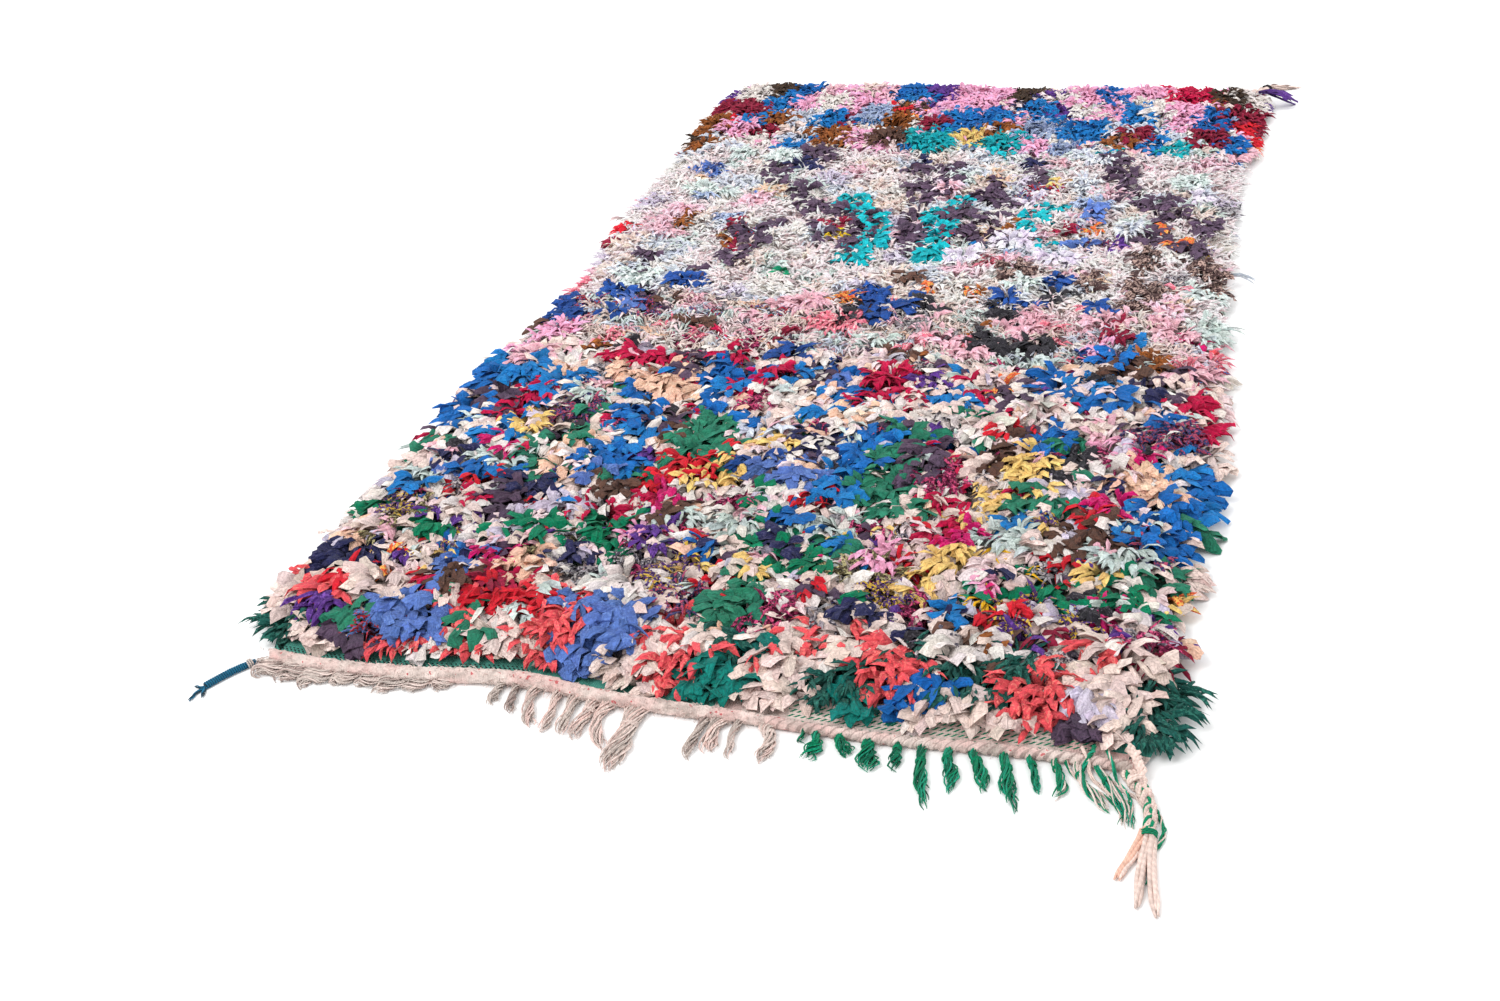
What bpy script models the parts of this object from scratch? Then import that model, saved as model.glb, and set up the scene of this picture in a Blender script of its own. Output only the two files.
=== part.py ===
"""A rag shag rug lying flat: woven ground with a rolled hem, knotted pile, warp fringes and corner tails.

Metres, +Z up. The floor is z = 0, +Y runs along the rug towards its far end, and the origin is on the floor
under the rug's middle.
"""

import math
import random
from collections import namedtuple

import bmesh
import bpy
from mathutils import Matrix, Vector, noise

# Driving sizes
RUG_WIDTH = 1.25
NEAR_END = -1.195
FAR_END = 1.150
GAP = 0.0003
WEAVE_THICK = 0.004
HEM_HEIGHT = 0.018
HEM_BULGE_HEIGHT = 0.008
HEM_DEPTH = 0.022
HEM_UNDERCUT = 0.005
HEM_UNEVEN = 0.10
HEM_UNEVEN_LENGTH = 0.043
HEM_STEP = 0.025
HEM_ROUND = 0.035

# Pile: its slab stands inside its reach, and the rim locks cover the rest
PILE_BEHIND_FOOT = 0.053
PILE_FAR_WALL = FAR_END - 0.020
PILE_RIM_INSET = 0.020
PILE_RIM_HEIGHT = 0.020
PILE_CROWN = 0.033
PILE_SLOPE = 0.070
LUMP_HEIGHT = 0.022
LUMP_MIDDLE = 0.35
LUMP_JITTER = 0.0035
RIM_JITTER = 0.005
LUMP_LENGTH = 0.085
LUMP_WIDTH = 0.065
CORNER_ROUND = 0.020
CORNER_REACH = 0.080
PILE_SEED = 11
PILE_ACROSS = 30
PILE_ALONG = 56
PLAN_JITTER = 0.007
WEAVE_INSET = 0.032
PILE_UNDERSIDE = WEAVE_THICK + GAP

# Rim locks
LOCK_CHANCE = 0.45
LOCK_SLANT = math.radians(14)
LOCK_SWAY = math.radians(22)
LOCK_SWAY_LENGTH = 0.16
LOCK_SPREAD = math.radians(4)
LOCK_LENGTH = 0.024
LOCK_SHORTEST, LOCK_LONGEST = 0.65, 1.20
BARE_CORNER_X = 0.540

# A lock's sections: how far out, and its width and height as shares of its root's width and the rim's height
LockSection = namedtuple("LockSection", "out width height")
LOCK_SECTIONS = [
    LockSection(out=0.40, width=0.86, height=0.80),
    LockSection(out=0.75, width=0.70, height=0.50),
    LockSection(out=1.00, width=0.30, height=0.20),
]

# Reach of the pile on each side, one row per place along the rug
Rim = namedtuple("Rim", "y left right")
RIM = [
    Rim(y=-1.16, left=-0.612, right=0.634),
    Rim(y=-1.05, left=-0.634, right=0.632),
    Rim(y=-0.90, left=-0.634, right=0.628),
    Rim(y=-0.75, left=-0.628, right=0.624),
    Rim(y=-0.60, left=-0.622, right=0.638),
    Rim(y=-0.45, left=-0.630, right=0.640),
    Rim(y=-0.30, left=-0.622, right=0.632),
    Rim(y=-0.15, left=-0.600, right=0.622),
    Rim(y=0.02, left=-0.592, right=0.614),
    Rim(y=0.25, left=-0.620, right=0.615),
    Rim(y=0.50, left=-0.628, right=0.613),
    Rim(y=0.80, left=-0.628, right=0.626),
    Rim(y=1.00, left=-0.630, right=0.642),
    Rim(y=1.14, left=-0.612, right=0.640),
]

# The hem's foot, where the rug ends at the near side
Foot = namedtuple("Foot", "x y")
HEM_FOOT = [
    Foot(x=-0.590, y=-1.188),
    Foot(x=-0.550, y=-1.196),
    Foot(x=-0.450, y=-1.196),
    Foot(x=-0.350, y=-1.190),
    Foot(x=-0.280, y=-1.179),
    Foot(x=-0.200, y=-1.175),
    Foot(x=-0.120, y=-1.190),
    Foot(x=0.000, y=-1.195),
    Foot(x=0.100, y=-1.193),
    Foot(x=0.200, y=-1.197),
    Foot(x=0.300, y=-1.200),
    Foot(x=0.400, y=-1.194),
    Foot(x=0.500, y=-1.191),
    Foot(x=0.600, y=-1.196),
]

HemPoint = namedtuple("HemPoint", "inwards height under")

# Single locks that stick out further than their neighbours, by place on the rim
LONG_LOCK_REACH = 0.016
LongLock = namedtuple("LongLock", "x y length")
LONG_LOCKS = [
    LongLock(x=0.625, y=1.112, length=0.070),
    LongLock(x=0.600, y=0.140, length=0.052),
    LongLock(x=0.605, y=-0.070, length=0.040),
    LongLock(x=0.620, y=-1.120, length=0.046),
    LongLock(x=-0.605, y=0.300, length=0.038),
    LongLock(x=-0.610, y=-0.640, length=0.040),
    LongLock(x=-0.610, y=-1.110, length=0.048),
]

# Strips along the hem's foot that hold the fringes
STRIP_HEIGHT = 0.006
STRIP_DEPTH = 0.003
STRIP_CLEAR = 0.0004
STRAND_APART = 0.0012
TASSEL_HEIGHT = 0.009
THREAD_HEIGHT = 0.003
THREAD_WIDTH = 0.008
TIP_HEIGHT = 0.003
TOP_SHARE = 0.55
ROOT_SHARE = 0.8
BUNDLE_SPREAD = (0.9, 1.0, 1.05, 1.1)
FIRST_WIDTH, LAST_WIDTH = 0.85, 0.75
FIRST_HEIGHT = 0.8

Strand = namedtuple("Strand", "left right path widths heights")

# A tassel leaves its strip at root, is width wide at its belly, and its path runs over the floor
Tassel = namedtuple("Tassel", "root strands width path")
CREAM_TASSELS = [
    Tassel(root=-0.558, strands=3, width=0.034, path=[(-0.566, -1.209), (-0.562, -1.221)]),
    Tassel(root=-0.521, strands=3, width=0.032, path=[(-0.530, -1.210), (-0.536, -1.225)]),
    Tassel(root=-0.484, strands=3, width=0.034, path=[(-0.493, -1.212), (-0.497, -1.233)]),
    Tassel(root=-0.447, strands=3, width=0.032, path=[(-0.456, -1.206), (-0.463, -1.213)]),
    Tassel(root=-0.411, strands=2, width=0.028, path=[(-0.419, -1.206), (-0.426, -1.213)]),
    Tassel(root=-0.378, strands=3, width=0.032, path=[(-0.387, -1.208), (-0.396, -1.222)]),
    Tassel(root=-0.342, strands=2, width=0.028, path=[(-0.349, -1.202), (-0.355, -1.211)]),
    Tassel(root=-0.308, strands=2, width=0.024, path=[(-0.313, -1.193), (-0.317, -1.202)]),
    Tassel(root=-0.228, strands=1, width=0.012, path=[(-0.229, -1.198), (-0.226, -1.217)]),
    Tassel(root=-0.206, strands=1, width=0.011, path=[(-0.202, -1.206), (-0.193, -1.230)]),
    Tassel(root=-0.180, strands=2, width=0.015,
            path=[(-0.176, -1.210), (-0.163, -1.236), (-0.155, -1.255)]),
    Tassel(root=-0.146, strands=1, width=0.012,
            path=[(-0.142, -1.210), (-0.140, -1.235), (-0.141, -1.258)]),
    Tassel(root=-0.122, strands=2, width=0.014,
            path=[(-0.119, -1.212), (-0.118, -1.238), (-0.110, -1.260)]),
    Tassel(root=-0.090, strands=2, width=0.020,
            path=[(-0.088, -1.215), (-0.090, -1.240), (-0.081, -1.280)]),
    Tassel(root=-0.072, strands=1, width=0.009,
            path=[(-0.070, -1.215), (-0.060, -1.243), (-0.051, -1.262)]),
    Tassel(root=-0.034, strands=2, width=0.030,
            path=[(-0.033, -1.220), (-0.033, -1.250), (-0.033, -1.310)]),
    Tassel(root=0.057, strands=1, width=0.012, path=[(0.055, -1.216), (0.053, -1.245), (0.057, -1.273)]),
    Tassel(root=0.075, strands=2, width=0.020, path=[(0.073, -1.212), (0.075, -1.232), (0.081, -1.256)]),
    Tassel(root=0.100, strands=1, width=0.010, path=[(0.099, -1.215), (0.102, -1.238), (0.108, -1.261)]),
    Tassel(root=0.136, strands=2, width=0.018, path=[(0.146, -1.213), (0.149, -1.235), (0.142, -1.261)]),
]
GREEN_TASSELS = [
    Tassel(root=0.184, strands=1, width=0.006, path=[(0.182, -1.206), (0.186, -1.216)]),
    Tassel(root=0.200, strands=2, width=0.021, path=[(0.205, -1.216), (0.197, -1.246)]),
    Tassel(root=0.230, strands=2, width=0.018, path=[(0.238, -1.213), (0.248, -1.226)]),
    Tassel(root=0.266, strands=3, width=0.026, path=[(0.269, -1.220), (0.277, -1.250)]),
    Tassel(root=0.302, strands=2, width=0.014, path=[(0.304, -1.221), (0.308, -1.243)]),
    Tassel(root=0.331, strands=2, width=0.018,
            path=[(0.333, -1.215), (0.338, -1.243), (0.347, -1.275), (0.356, -1.300)]),
    Tassel(root=0.363, strands=2, width=0.019, path=[(0.364, -1.213), (0.374, -1.238), (0.378, -1.270)]),
    Tassel(root=0.392, strands=2, width=0.020, path=[(0.400, -1.213), (0.410, -1.235), (0.418, -1.264)]),
    Tassel(root=0.428, strands=2, width=0.020, path=[(0.436, -1.220), (0.443, -1.252), (0.458, -1.286)]),
    Tassel(root=0.458, strands=1, width=0.011, path=[(0.467, -1.214), (0.473, -1.243), (0.482, -1.254)]),
    Tassel(root=0.487, strands=2, width=0.013, path=[(0.495, -1.214), (0.501, -1.236), (0.494, -1.258)]),
    Tassel(root=0.513, strands=2, width=0.014, path=[(0.521, -1.217), (0.541, -1.246), (0.560, -1.268)]),
    Tassel(root=0.537, strands=2, width=0.014, path=[(0.552, -1.220), (0.571, -1.253), (0.583, -1.290)]),
]

# Plaited tails: stretches of plait, then one free end for each of their cords, from the left looking out
TAIL_END_WIDTH = 0.008
TAIL_TOP_SHARE = 0.8
TAIL_ROUND = 0.35
TAIL_END_HEIGHT = 0.55
Stretch = namedtuple("Stretch", "x y width height")
RIGHT_TAIL_PLAIT = [
    Stretch(x=0.572, y=-1.1955, width=0.022, height=0.010),
    Stretch(x=0.582, y=-1.212, width=0.019, height=0.014),
    Stretch(x=0.595, y=-1.235, width=0.016, height=0.015),
    Stretch(x=0.603, y=-1.262, width=0.015, height=0.013),
    Stretch(x=0.604, y=-1.287, width=0.013, height=0.011),
    Stretch(x=0.604, y=-1.300, width=0.017, height=0.012),
]
RIGHT_TAIL_ENDS = [
    [(0.613, -1.345), (0.625, -1.417)],
    [(0.603, -1.345), (0.603, -1.415)],
    [(0.592, -1.325), (0.578, -1.370)],
]
LEFT_TAIL_PLAIT = [
    Stretch(x=-0.585, y=-1.190, width=0.009, height=0.008),
    Stretch(x=-0.596, y=-1.204, width=0.012, height=0.010),
    Stretch(x=-0.607, y=-1.219, width=0.013, height=0.011),
    Stretch(x=-0.617, y=-1.236, width=0.013, height=0.010),
    Stretch(x=-0.626, y=-1.252, width=0.016, height=0.007),
]
LEFT_TAIL_ENDS = [
    [(-0.622, -1.264), (-0.614, -1.277)],
    [(-0.632, -1.266), (-0.630, -1.287)],
    [(-0.637, -1.253), (-0.645, -1.250)],
]
FAR_TAIL_PLAIT = [
    Stretch(x=0.558, y=1.1164, width=0.020, height=0.0036),
    Stretch(x=0.575, y=1.154, width=0.019, height=0.0038),
    Stretch(x=0.604, y=1.176, width=0.020, height=0.012),
    Stretch(x=0.625, y=1.200, width=0.022, height=0.014),
]
FAR_TAIL_ENDS = [
    [(0.630, 1.222), (0.640, 1.240)],
    [(0.645, 1.216), (0.672, 1.234)],
    [(0.655, 1.206), (0.700, 1.222)],
]
ROUGHNESS = 0.95

# Colours of the plain solids
CREAM = (0.74, 0.58, 0.52)
CREAM_GREY = (0.62, 0.52, 0.47)
GREEN = (0.01, 0.24, 0.12)
TEAL = (0.01, 0.25, 0.36)
MIXED_PILE = (0.42, 0.24, 0.30)


def clear_scene():
    for thing in list(bpy.data.objects):
        bpy.data.objects.remove(thing, do_unlink=True)


def between(rows, key, value, at):
    """The value of a table's column at a place between its rows."""
    for low, high in zip(rows, rows[1:]):
        if at <= getattr(high, key):
            break
    span = getattr(high, key) - getattr(low, key)
    share = min(max((at - getattr(low, key)) / span, 0), 1)
    return getattr(low, value) + share * (getattr(high, value) - getattr(low, value))


def smooth(share):
    share = min(max(share, 0), 1)
    return share * share * (3 - 2 * share)


def hem_foot(x):
    """The y of the hem's foot: the table's rows joined by short straight stretches of a smooth curve."""
    step = HEM_STEP
    low = math.floor(x / step) * step
    share = (x - low) / step
    return smooth_foot(low) + share * (smooth_foot(low + step) - smooth_foot(low))


def hem_steps(first, last):
    """The places between two others where the hem's short stretches meet."""
    steps = range(math.ceil(first / HEM_STEP), math.floor(last / HEM_STEP) + 1)
    return [k * HEM_STEP for k in steps if first + GAP < k * HEM_STEP < last - GAP]


def smooth_foot(x):
    """The table's foot line with its bends rounded off."""
    places = (x - HEM_ROUND, x - HEM_ROUND / 2, x, x + HEM_ROUND / 2, x + HEM_ROUND)
    return sum(between(HEM_FOOT, "x", "y", place) for place in places) / len(places)


def side_edges(y, inset):
    """Left and right edge of a layer that is this far inside the pile's reach, drawn in at the corners."""
    to_end = min(y - NEAR_END, FAR_END - y)
    drawn_in = CORNER_ROUND * max(0, 1 - to_end / CORNER_REACH) ** 2
    return between(RIM, "y", "left", y) + inset + drawn_in, between(RIM, "y", "right", y) - inset - drawn_in


def finish(name, mesh, colour):
    """Makes the mesh a named object with its own material."""
    bmesh.ops.recalc_face_normals(mesh, faces=mesh.faces)
    data = bpy.data.meshes.new(name)
    mesh.to_mesh(data)
    mesh.free()
    part = bpy.data.objects.new(name, data)
    bpy.context.scene.collection.objects.link(part)
    material = bpy.data.materials.new(name)
    material.use_nodes = True
    shader = material.node_tree.nodes["Principled BSDF"]
    shader.inputs["Base Color"].default_value = (*colour, 1)
    shader.inputs["Roughness"].default_value = ROUGHNESS
    shader.inputs["Metallic"].default_value = 0
    data.materials.append(material)


def grow_section(mesh, face, middle, along, width, height, floor=0.0):
    """Draws a four-cornered face on to its next section, which stands on the floor and faces along."""
    across = Vector((-along.y, along.x, 0)).normalized()
    centre = face.calc_center_median()
    sides = [(1 if (vert.co - centre).dot(across) > 0 else -1) for vert in face.verts]
    levels = [vert.co.z > centre.z for vert in face.verts]
    face = bmesh.ops.extrude_discrete_faces(mesh, faces=[face])["faces"][0]
    for vert, side, is_top in zip(face.verts, sides, levels):
        half = width / 2 * (TOP_SHARE if is_top else 1)
        place = middle + side * half * across
        vert.co = (place.x, place.y, floor + (height if is_top else 0))
    return face


def grow_strand(mesh, face, path, widths, heights, floor=0.0):
    """Draws a strand out of a face along a path over the floor."""
    before = face.calc_center_median()
    before = Vector((before.x, before.y, 0))
    points = [Vector((x, y, 0)) for x, y in path]
    for i, point in enumerate(points):
        after = points[i + 1] if i + 1 < len(points) else 2 * point - before
        face = grow_section(mesh, face, point, after - before, widths[i], heights[i], floor)
        before = point


def hem_section(x):
    """The hem's section from its inner side round to its bulge: distances in from the foot, and heights."""
    uneven = 1 + HEM_UNEVEN * noise.noise(Vector((x / HEM_UNEVEN_LENGTH, 0, 0)))
    crown = HEM_HEIGHT * uneven
    return [
        HemPoint(inwards=HEM_DEPTH, height=WEAVE_THICK, under=HEM_DEPTH),
        HemPoint(inwards=0.80 * HEM_DEPTH, height=0.72 * crown, under=0.80 * HEM_DEPTH),
        HemPoint(inwards=0.45 * HEM_DEPTH, height=crown, under=0.60 * HEM_DEPTH),
        HemPoint(inwards=0.12 * HEM_DEPTH, height=0.80 * crown, under=0.40 * HEM_DEPTH),
        HemPoint(inwards=0.0, height=HEM_BULGE_HEIGHT, under=HEM_UNDERCUT),
    ]


def build_ground_weave():
    """The woven sheet and its rolled hem: lines of points that run from the far end to the hem's foot."""
    stations = [HEM_FOOT[0].x, *hem_steps(HEM_FOOT[0].x, HEM_FOOT[-1].x), HEM_FOOT[-1].x]
    rows = [FAR_END - WEAVE_INSET, *(rim.y for rim in RIM[-2:0:-1])]
    mesh = bmesh.new()
    tops, bottoms = [], []
    for x in stations:
        share = (x - stations[0]) / (stations[-1] - stations[0])
        foot = hem_foot(x)
        top, bottom = [], []
        for y in rows:
            left, right = side_edges(y, WEAVE_INSET)
            place = left + share * (right - left)
            top.append(mesh.verts.new((place, y, WEAVE_THICK)))
            bottom.append(mesh.verts.new((place, y, 0)))
        for point in hem_section(x):
            top.append(mesh.verts.new((x, foot + point.inwards, point.height)))
            bottom.append(mesh.verts.new((x, foot + point.under, 0)))
        tops.append(top)
        bottoms.append(bottom)
    last = len(tops[0]) - 1
    for top, next_top, bottom, next_bottom in zip(tops, tops[1:], bottoms, bottoms[1:]):
        for j in range(last):
            mesh.faces.new((top[j], top[j + 1], next_top[j + 1], next_top[j]))
            mesh.faces.new((bottom[j], next_bottom[j], next_bottom[j + 1], bottom[j + 1]))
        for j in (0, last):
            mesh.faces.new((top[j], next_top[j], next_bottom[j], bottom[j]))
    for top, bottom in ((tops[0], bottoms[0]), (tops[-1], bottoms[-1])):
        for j in range(last):
            mesh.faces.new((top[j], top[j + 1], bottom[j + 1], bottom[j]))
    finish("ground_weave", mesh, CREAM)


def pile_height(x, y, rim_distance):
    """Height of the pile's top over the floor: it slopes to its rim and is lumpy."""
    inside = smooth(rim_distance / PILE_SLOPE)
    crown = PILE_RIM_HEIGHT + (PILE_CROWN - PILE_RIM_HEIGHT) * inside
    nearest = noise.voronoi(Vector((x / LUMP_WIDTH, y / LUMP_LENGTH, 0)))[0][0]
    lump = LUMP_HEIGHT * (1 - min(nearest, 1) - LUMP_MIDDLE)
    return crown + lump * (LUMP_MIDDLE + (1 - LUMP_MIDDLE) * inside)


def build_shag_pile():
    """The lumpy slab, with locks drawn out of its wall's faces: no two bare faces lie side by side."""
    chance = random.Random(PILE_SEED)
    mesh = bmesh.new()
    bmesh.ops.create_grid(mesh, x_segments=PILE_ACROSS, y_segments=PILE_ALONG, size=0.5)
    for vert in mesh.verts:
        near_wall = smooth_foot(RUG_WIDTH * vert.co.x) + PILE_BEHIND_FOOT
        y = near_wall + (vert.co.y + 0.5) * (PILE_FAR_WALL - near_wall)
        left, right = side_edges(y, PILE_RIM_INSET)
        x = left + (vert.co.x + 0.5) * (right - left)
        rim_distance = min(x - left, right - x, y - near_wall, PILE_FAR_WALL - y)
        if not vert.is_boundary:
            x += chance.uniform(-PLAN_JITTER, PLAN_JITTER)
            y += chance.uniform(-PLAN_JITTER, PLAN_JITTER)
        uneven = chance.uniform(-LUMP_JITTER, LUMP_JITTER)
        vert.co = (x, y, pile_height(x, y, rim_distance) + uneven)
    rim = [edge for edge in mesh.edges if edge.is_boundary]
    bmesh.ops.subdivide_edges(mesh, edges=rim, cuts=1)
    for vert in mesh.verts:
        if vert.is_boundary:
            vert.co.z += chance.uniform(-RIM_JITTER, RIM_JITTER)
    rim = [edge for edge in mesh.edges if edge.is_boundary]
    lower = bmesh.ops.extrude_edge_only(mesh, edges=rim)["geom"]
    for piece in lower:
        if isinstance(piece, bmesh.types.BMVert):
            piece.co.z = PILE_UNDERSIDE
    lower_edges = [piece for piece in lower if isinstance(piece, bmesh.types.BMEdge)]
    bmesh.ops.contextual_create(mesh, geom=lower_edges)
    bmesh.ops.recalc_face_normals(mesh, faces=mesh.faces)
    walls = [face for face in mesh.faces if is_wall(face)]
    walls.sort(key=place_round_rim)
    was_left = False
    for wall in walls:
        was_left = not was_left and chance.random() > LOCK_CHANCE
        if not was_left:
            grow_lock(mesh, wall, chance)
    finish("shag_pile", mesh, MIXED_PILE)


def is_wall(face):
    """Whether a face of the slab stands upright on its underside's rim."""
    lowest = min(vert.co.z for vert in face.verts)
    return len(face.verts) == 4 and abs(face.normal.z) < 0.3 and lowest < PILE_UNDERSIDE + GAP


def place_round_rim(wall):
    """A wall's place in the order round the rug."""
    centre = wall.calc_center_median()
    return math.atan2(centre.y / FAR_END, centre.x * 2 / RUG_WIDTH)


def grow_lock(mesh, wall, chance):
    """Draws one rim lock out of a wall: out, down to what lies under it, and to a blunt tip."""
    centre = wall.calc_center_median()
    is_far = centre.y > PILE_FAR_WALL - GAP
    if is_far and centre.x > BARE_CORNER_X:
        return
    sway = noise.noise(Vector((centre.x / LOCK_SWAY_LENGTH, centre.y / LOCK_SWAY_LENGTH, 0)))
    turn = LOCK_SWAY * sway + chance.uniform(-LOCK_SPREAD, LOCK_SPREAD)
    length = LOCK_LENGTH * chance.uniform(LOCK_SHORTEST, LOCK_LONGEST)
    out = Vector((wall.normal.x, wall.normal.y, 0)).normalized()
    on_weave = out.y < -0.7
    if abs(out.x) > 0.7:
        turn -= math.copysign(LOCK_SLANT, out.x)
        for lock in LONG_LOCKS:
            if math.hypot(centre.x - lock.x, centre.y - lock.y) < LONG_LOCK_REACH:
                length = lock.length
    out.rotate(Matrix.Rotation(turn, 3, "Z"))
    root_height = max(vert.co.z for vert in wall.verts) - PILE_UNDERSIDE
    root_width = wall.calc_area() / root_height
    path = [centre.xy + section.out * length * out.xy for section in LOCK_SECTIONS]
    widths = [section.width * root_width for section in LOCK_SECTIONS]
    heights = [section.height * PILE_RIM_HEIGHT for section in LOCK_SECTIONS]
    grow_strand(mesh, wall, path, widths, heights, PILE_UNDERSIDE if on_weave else 0.0)


def plan_strands(tassel):
    """The tassel's strands, side by side: each one's root on the strip, path, widths and heights."""
    share = tassel.width / tassel.strands
    thick = TASSEL_HEIGHT if tassel.width > THREAD_WIDTH else THREAD_HEIGHT
    plans = []
    for i in range(tassel.strands):
        offset = (i - (tassel.strands - 1) / 2) * share
        root_x = tassel.root + ROOT_SHARE * offset
        half_root = (ROOT_SHARE * share - STRAND_APART) / 2
        width = share - STRAND_APART
        between_ends = len(tassel.path) - 2
        plans.append(Strand(
            left=round(root_x - half_root, 6),
            right=round(root_x + half_root, 6),
            path=[(x + offset * spread, y) for (x, y), spread in zip(tassel.path, BUNDLE_SPREAD)],
            widths=[FIRST_WIDTH * width, *[width] * between_ends, LAST_WIDTH * width],
            heights=[FIRST_HEIGHT * thick, *[thick] * between_ends, TIP_HEIGHT],
        ))
    return plans


def build_fringe(name, tassels, colour):
    """A narrow strip that tucks under the hem's bulge, with each strand drawn out of its front."""
    strands = sorted(strand for tassel in tassels for strand in plan_strands(tassel))
    ends = [end for strand in strands for end in (strand.left, strand.right)]
    first, last = ends[0] - STRIP_DEPTH, ends[-1] + STRIP_DEPTH
    bends = [x for x in hem_steps(first, last) if min(abs(x - end) for end in ends) > GAP]
    whole = [x for x in bends if not any(strand.left < x < strand.right for strand in strands)]
    places = sorted([first, *ends, *whole, last])
    mesh = bmesh.new()
    rings = []
    for x in places:
        line = hem_line(x)
        back_top = line + HEM_UNDERCUT * (1 - STRIP_HEIGHT / HEM_BULGE_HEIGHT)
        front = line - STRIP_DEPTH
        corners = ((line + HEM_UNDERCUT, 0), (front, 0), (front, STRIP_HEIGHT), (back_top, STRIP_HEIGHT))
        rings.append([mesh.verts.new((x, y, z)) for y, z in corners])
    fronts = {}
    for x, ring, following in zip(places, rings, rings[1:]):
        sides = [mesh.faces.new((ring[k], ring[k - 3], following[k - 3], following[k])) for k in range(4)]
        fronts[x] = sides[1]
    mesh.faces.new(rings[0])
    mesh.faces.new(rings[-1])
    bmesh.ops.recalc_face_normals(mesh, faces=mesh.faces)
    for strand in strands:
        grow_strand(mesh, fronts[strand.left], strand.path, strand.widths, strand.heights)
    finish(name, mesh, colour)


def hem_line(x):
    """Where what is tied to the hem's foot starts."""
    return hem_foot(x) - STRIP_CLEAR


def far_line(_):
    """Where what is tied to the ground's straight far edge starts."""
    return FAR_END - WEAVE_INSET + STRIP_CLEAR


def tail_section(mesh, stretch, along, cords, root_line=None):
    """Points across a plait, one more than its cords: a row on the floor and a row along its round top."""
    across = Vector((-along.y, along.x, 0)).normalized()
    if root_line:
        across = Vector((-math.copysign(1, along.y), 0, 0))
    bottom, top = [], []
    for k in range(cords + 1):
        side = 0.5 - k / cords
        height = stretch.height * (1 - TAIL_ROUND * (2 * side) ** 2)
        for row, share, z in ((bottom, 1, 0), (top, TAIL_TOP_SHARE, height)):
            place = Vector((stretch.x, stretch.y, z)) + share * side * stretch.width * across
            if root_line:
                place.y = root_line(place.x)
            row.append(mesh.verts.new(place))
    return bottom, top


def build_tail(name, plait, ends, colour, root_line):
    """A plaited tail that lies on the floor and parts into one free end for each cord."""
    cords = len(ends)
    mesh = bmesh.new()
    sections = []
    for i, stretch in enumerate(plait):
        before, after = plait[max(i - 1, 0)], plait[min(i + 1, len(plait) - 1)]
        along = Vector((after.x - before.x, after.y - before.y, 0))
        sections.append(tail_section(mesh, stretch, along, cords, root_line if i == 0 else None))
    for (bottom, top), (next_bottom, next_top) in zip(sections, sections[1:]):
        for k in range(cords):
            mesh.faces.new((bottom[k], bottom[k + 1], next_bottom[k + 1], next_bottom[k]))
            mesh.faces.new((top[k], next_top[k], next_top[k + 1], top[k + 1]))
        for k in (0, cords):
            mesh.faces.new((bottom[k], next_bottom[k], next_top[k], top[k]))
    for bottom, top in (sections[0], sections[-1]):
        faces = [mesh.faces.new((bottom[k], bottom[k + 1], top[k + 1], top[k])) for k in range(cords)]
    bmesh.ops.recalc_face_normals(mesh, faces=mesh.faces)
    height = plait[-1].height
    for face, path in zip(faces, ends):
        more = len(path) - 1
        widths = [*[TAIL_END_WIDTH] * more, LAST_WIDTH * TAIL_END_WIDTH]
        heights = [*[TAIL_END_HEIGHT * height] * more, TIP_HEIGHT]
        grow_strand(mesh, face, path, widths, heights)
    finish(name, mesh, colour)


def main():
    clear_scene()
    build_ground_weave()
    build_shag_pile()
    build_fringe("fringe_cream", CREAM_TASSELS, CREAM_GREY)
    build_fringe("fringe_green", GREEN_TASSELS, GREEN)
    build_tail("corner_tail_right", RIGHT_TAIL_PLAIT, RIGHT_TAIL_ENDS, CREAM, hem_line)
    build_tail("corner_tail_left", LEFT_TAIL_PLAIT, LEFT_TAIL_ENDS, TEAL, hem_line)
    build_tail("far_tail", FAR_TAIL_PLAIT, FAR_TAIL_ENDS, CREAM_GREY, far_line)


main()
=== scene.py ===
"""Looks of a flat rag shag rug: knotted rag pile, woven ground with a rolled hem, warp fringes and tails.

Metres, +Z up. The floor is z = 0 and +Y runs along the rug towards its far end.
"""

import math
from collections import namedtuple

import bmesh
import bpy
import numpy as np
from bpy.props import FloatProperty, FloatVectorProperty, PointerProperty
from mathutils import Matrix, Vector, noise


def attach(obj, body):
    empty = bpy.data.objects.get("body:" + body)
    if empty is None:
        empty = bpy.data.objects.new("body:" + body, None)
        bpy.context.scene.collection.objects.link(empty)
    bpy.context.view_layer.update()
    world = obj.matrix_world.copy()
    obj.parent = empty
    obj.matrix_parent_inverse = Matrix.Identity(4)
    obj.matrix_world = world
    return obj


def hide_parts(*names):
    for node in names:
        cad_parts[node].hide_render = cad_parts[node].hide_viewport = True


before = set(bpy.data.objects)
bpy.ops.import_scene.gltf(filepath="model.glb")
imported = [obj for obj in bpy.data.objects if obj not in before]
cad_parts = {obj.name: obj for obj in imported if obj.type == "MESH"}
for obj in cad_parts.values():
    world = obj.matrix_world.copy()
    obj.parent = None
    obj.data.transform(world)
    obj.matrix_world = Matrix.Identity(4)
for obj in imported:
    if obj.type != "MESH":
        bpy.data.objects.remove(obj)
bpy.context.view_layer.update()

bl_info = {
    "name": "Rag shag rug",
    "version": (1, 0, 0),
    "blender": (4, 5, 0),
    "location": "View3D > Sidebar > Rag rug",
    "description": "Makes the cloth, yarn and fringes of a rag shag rug around its packed solids",
    "category": "Object",
}

CM = 0.01

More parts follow.
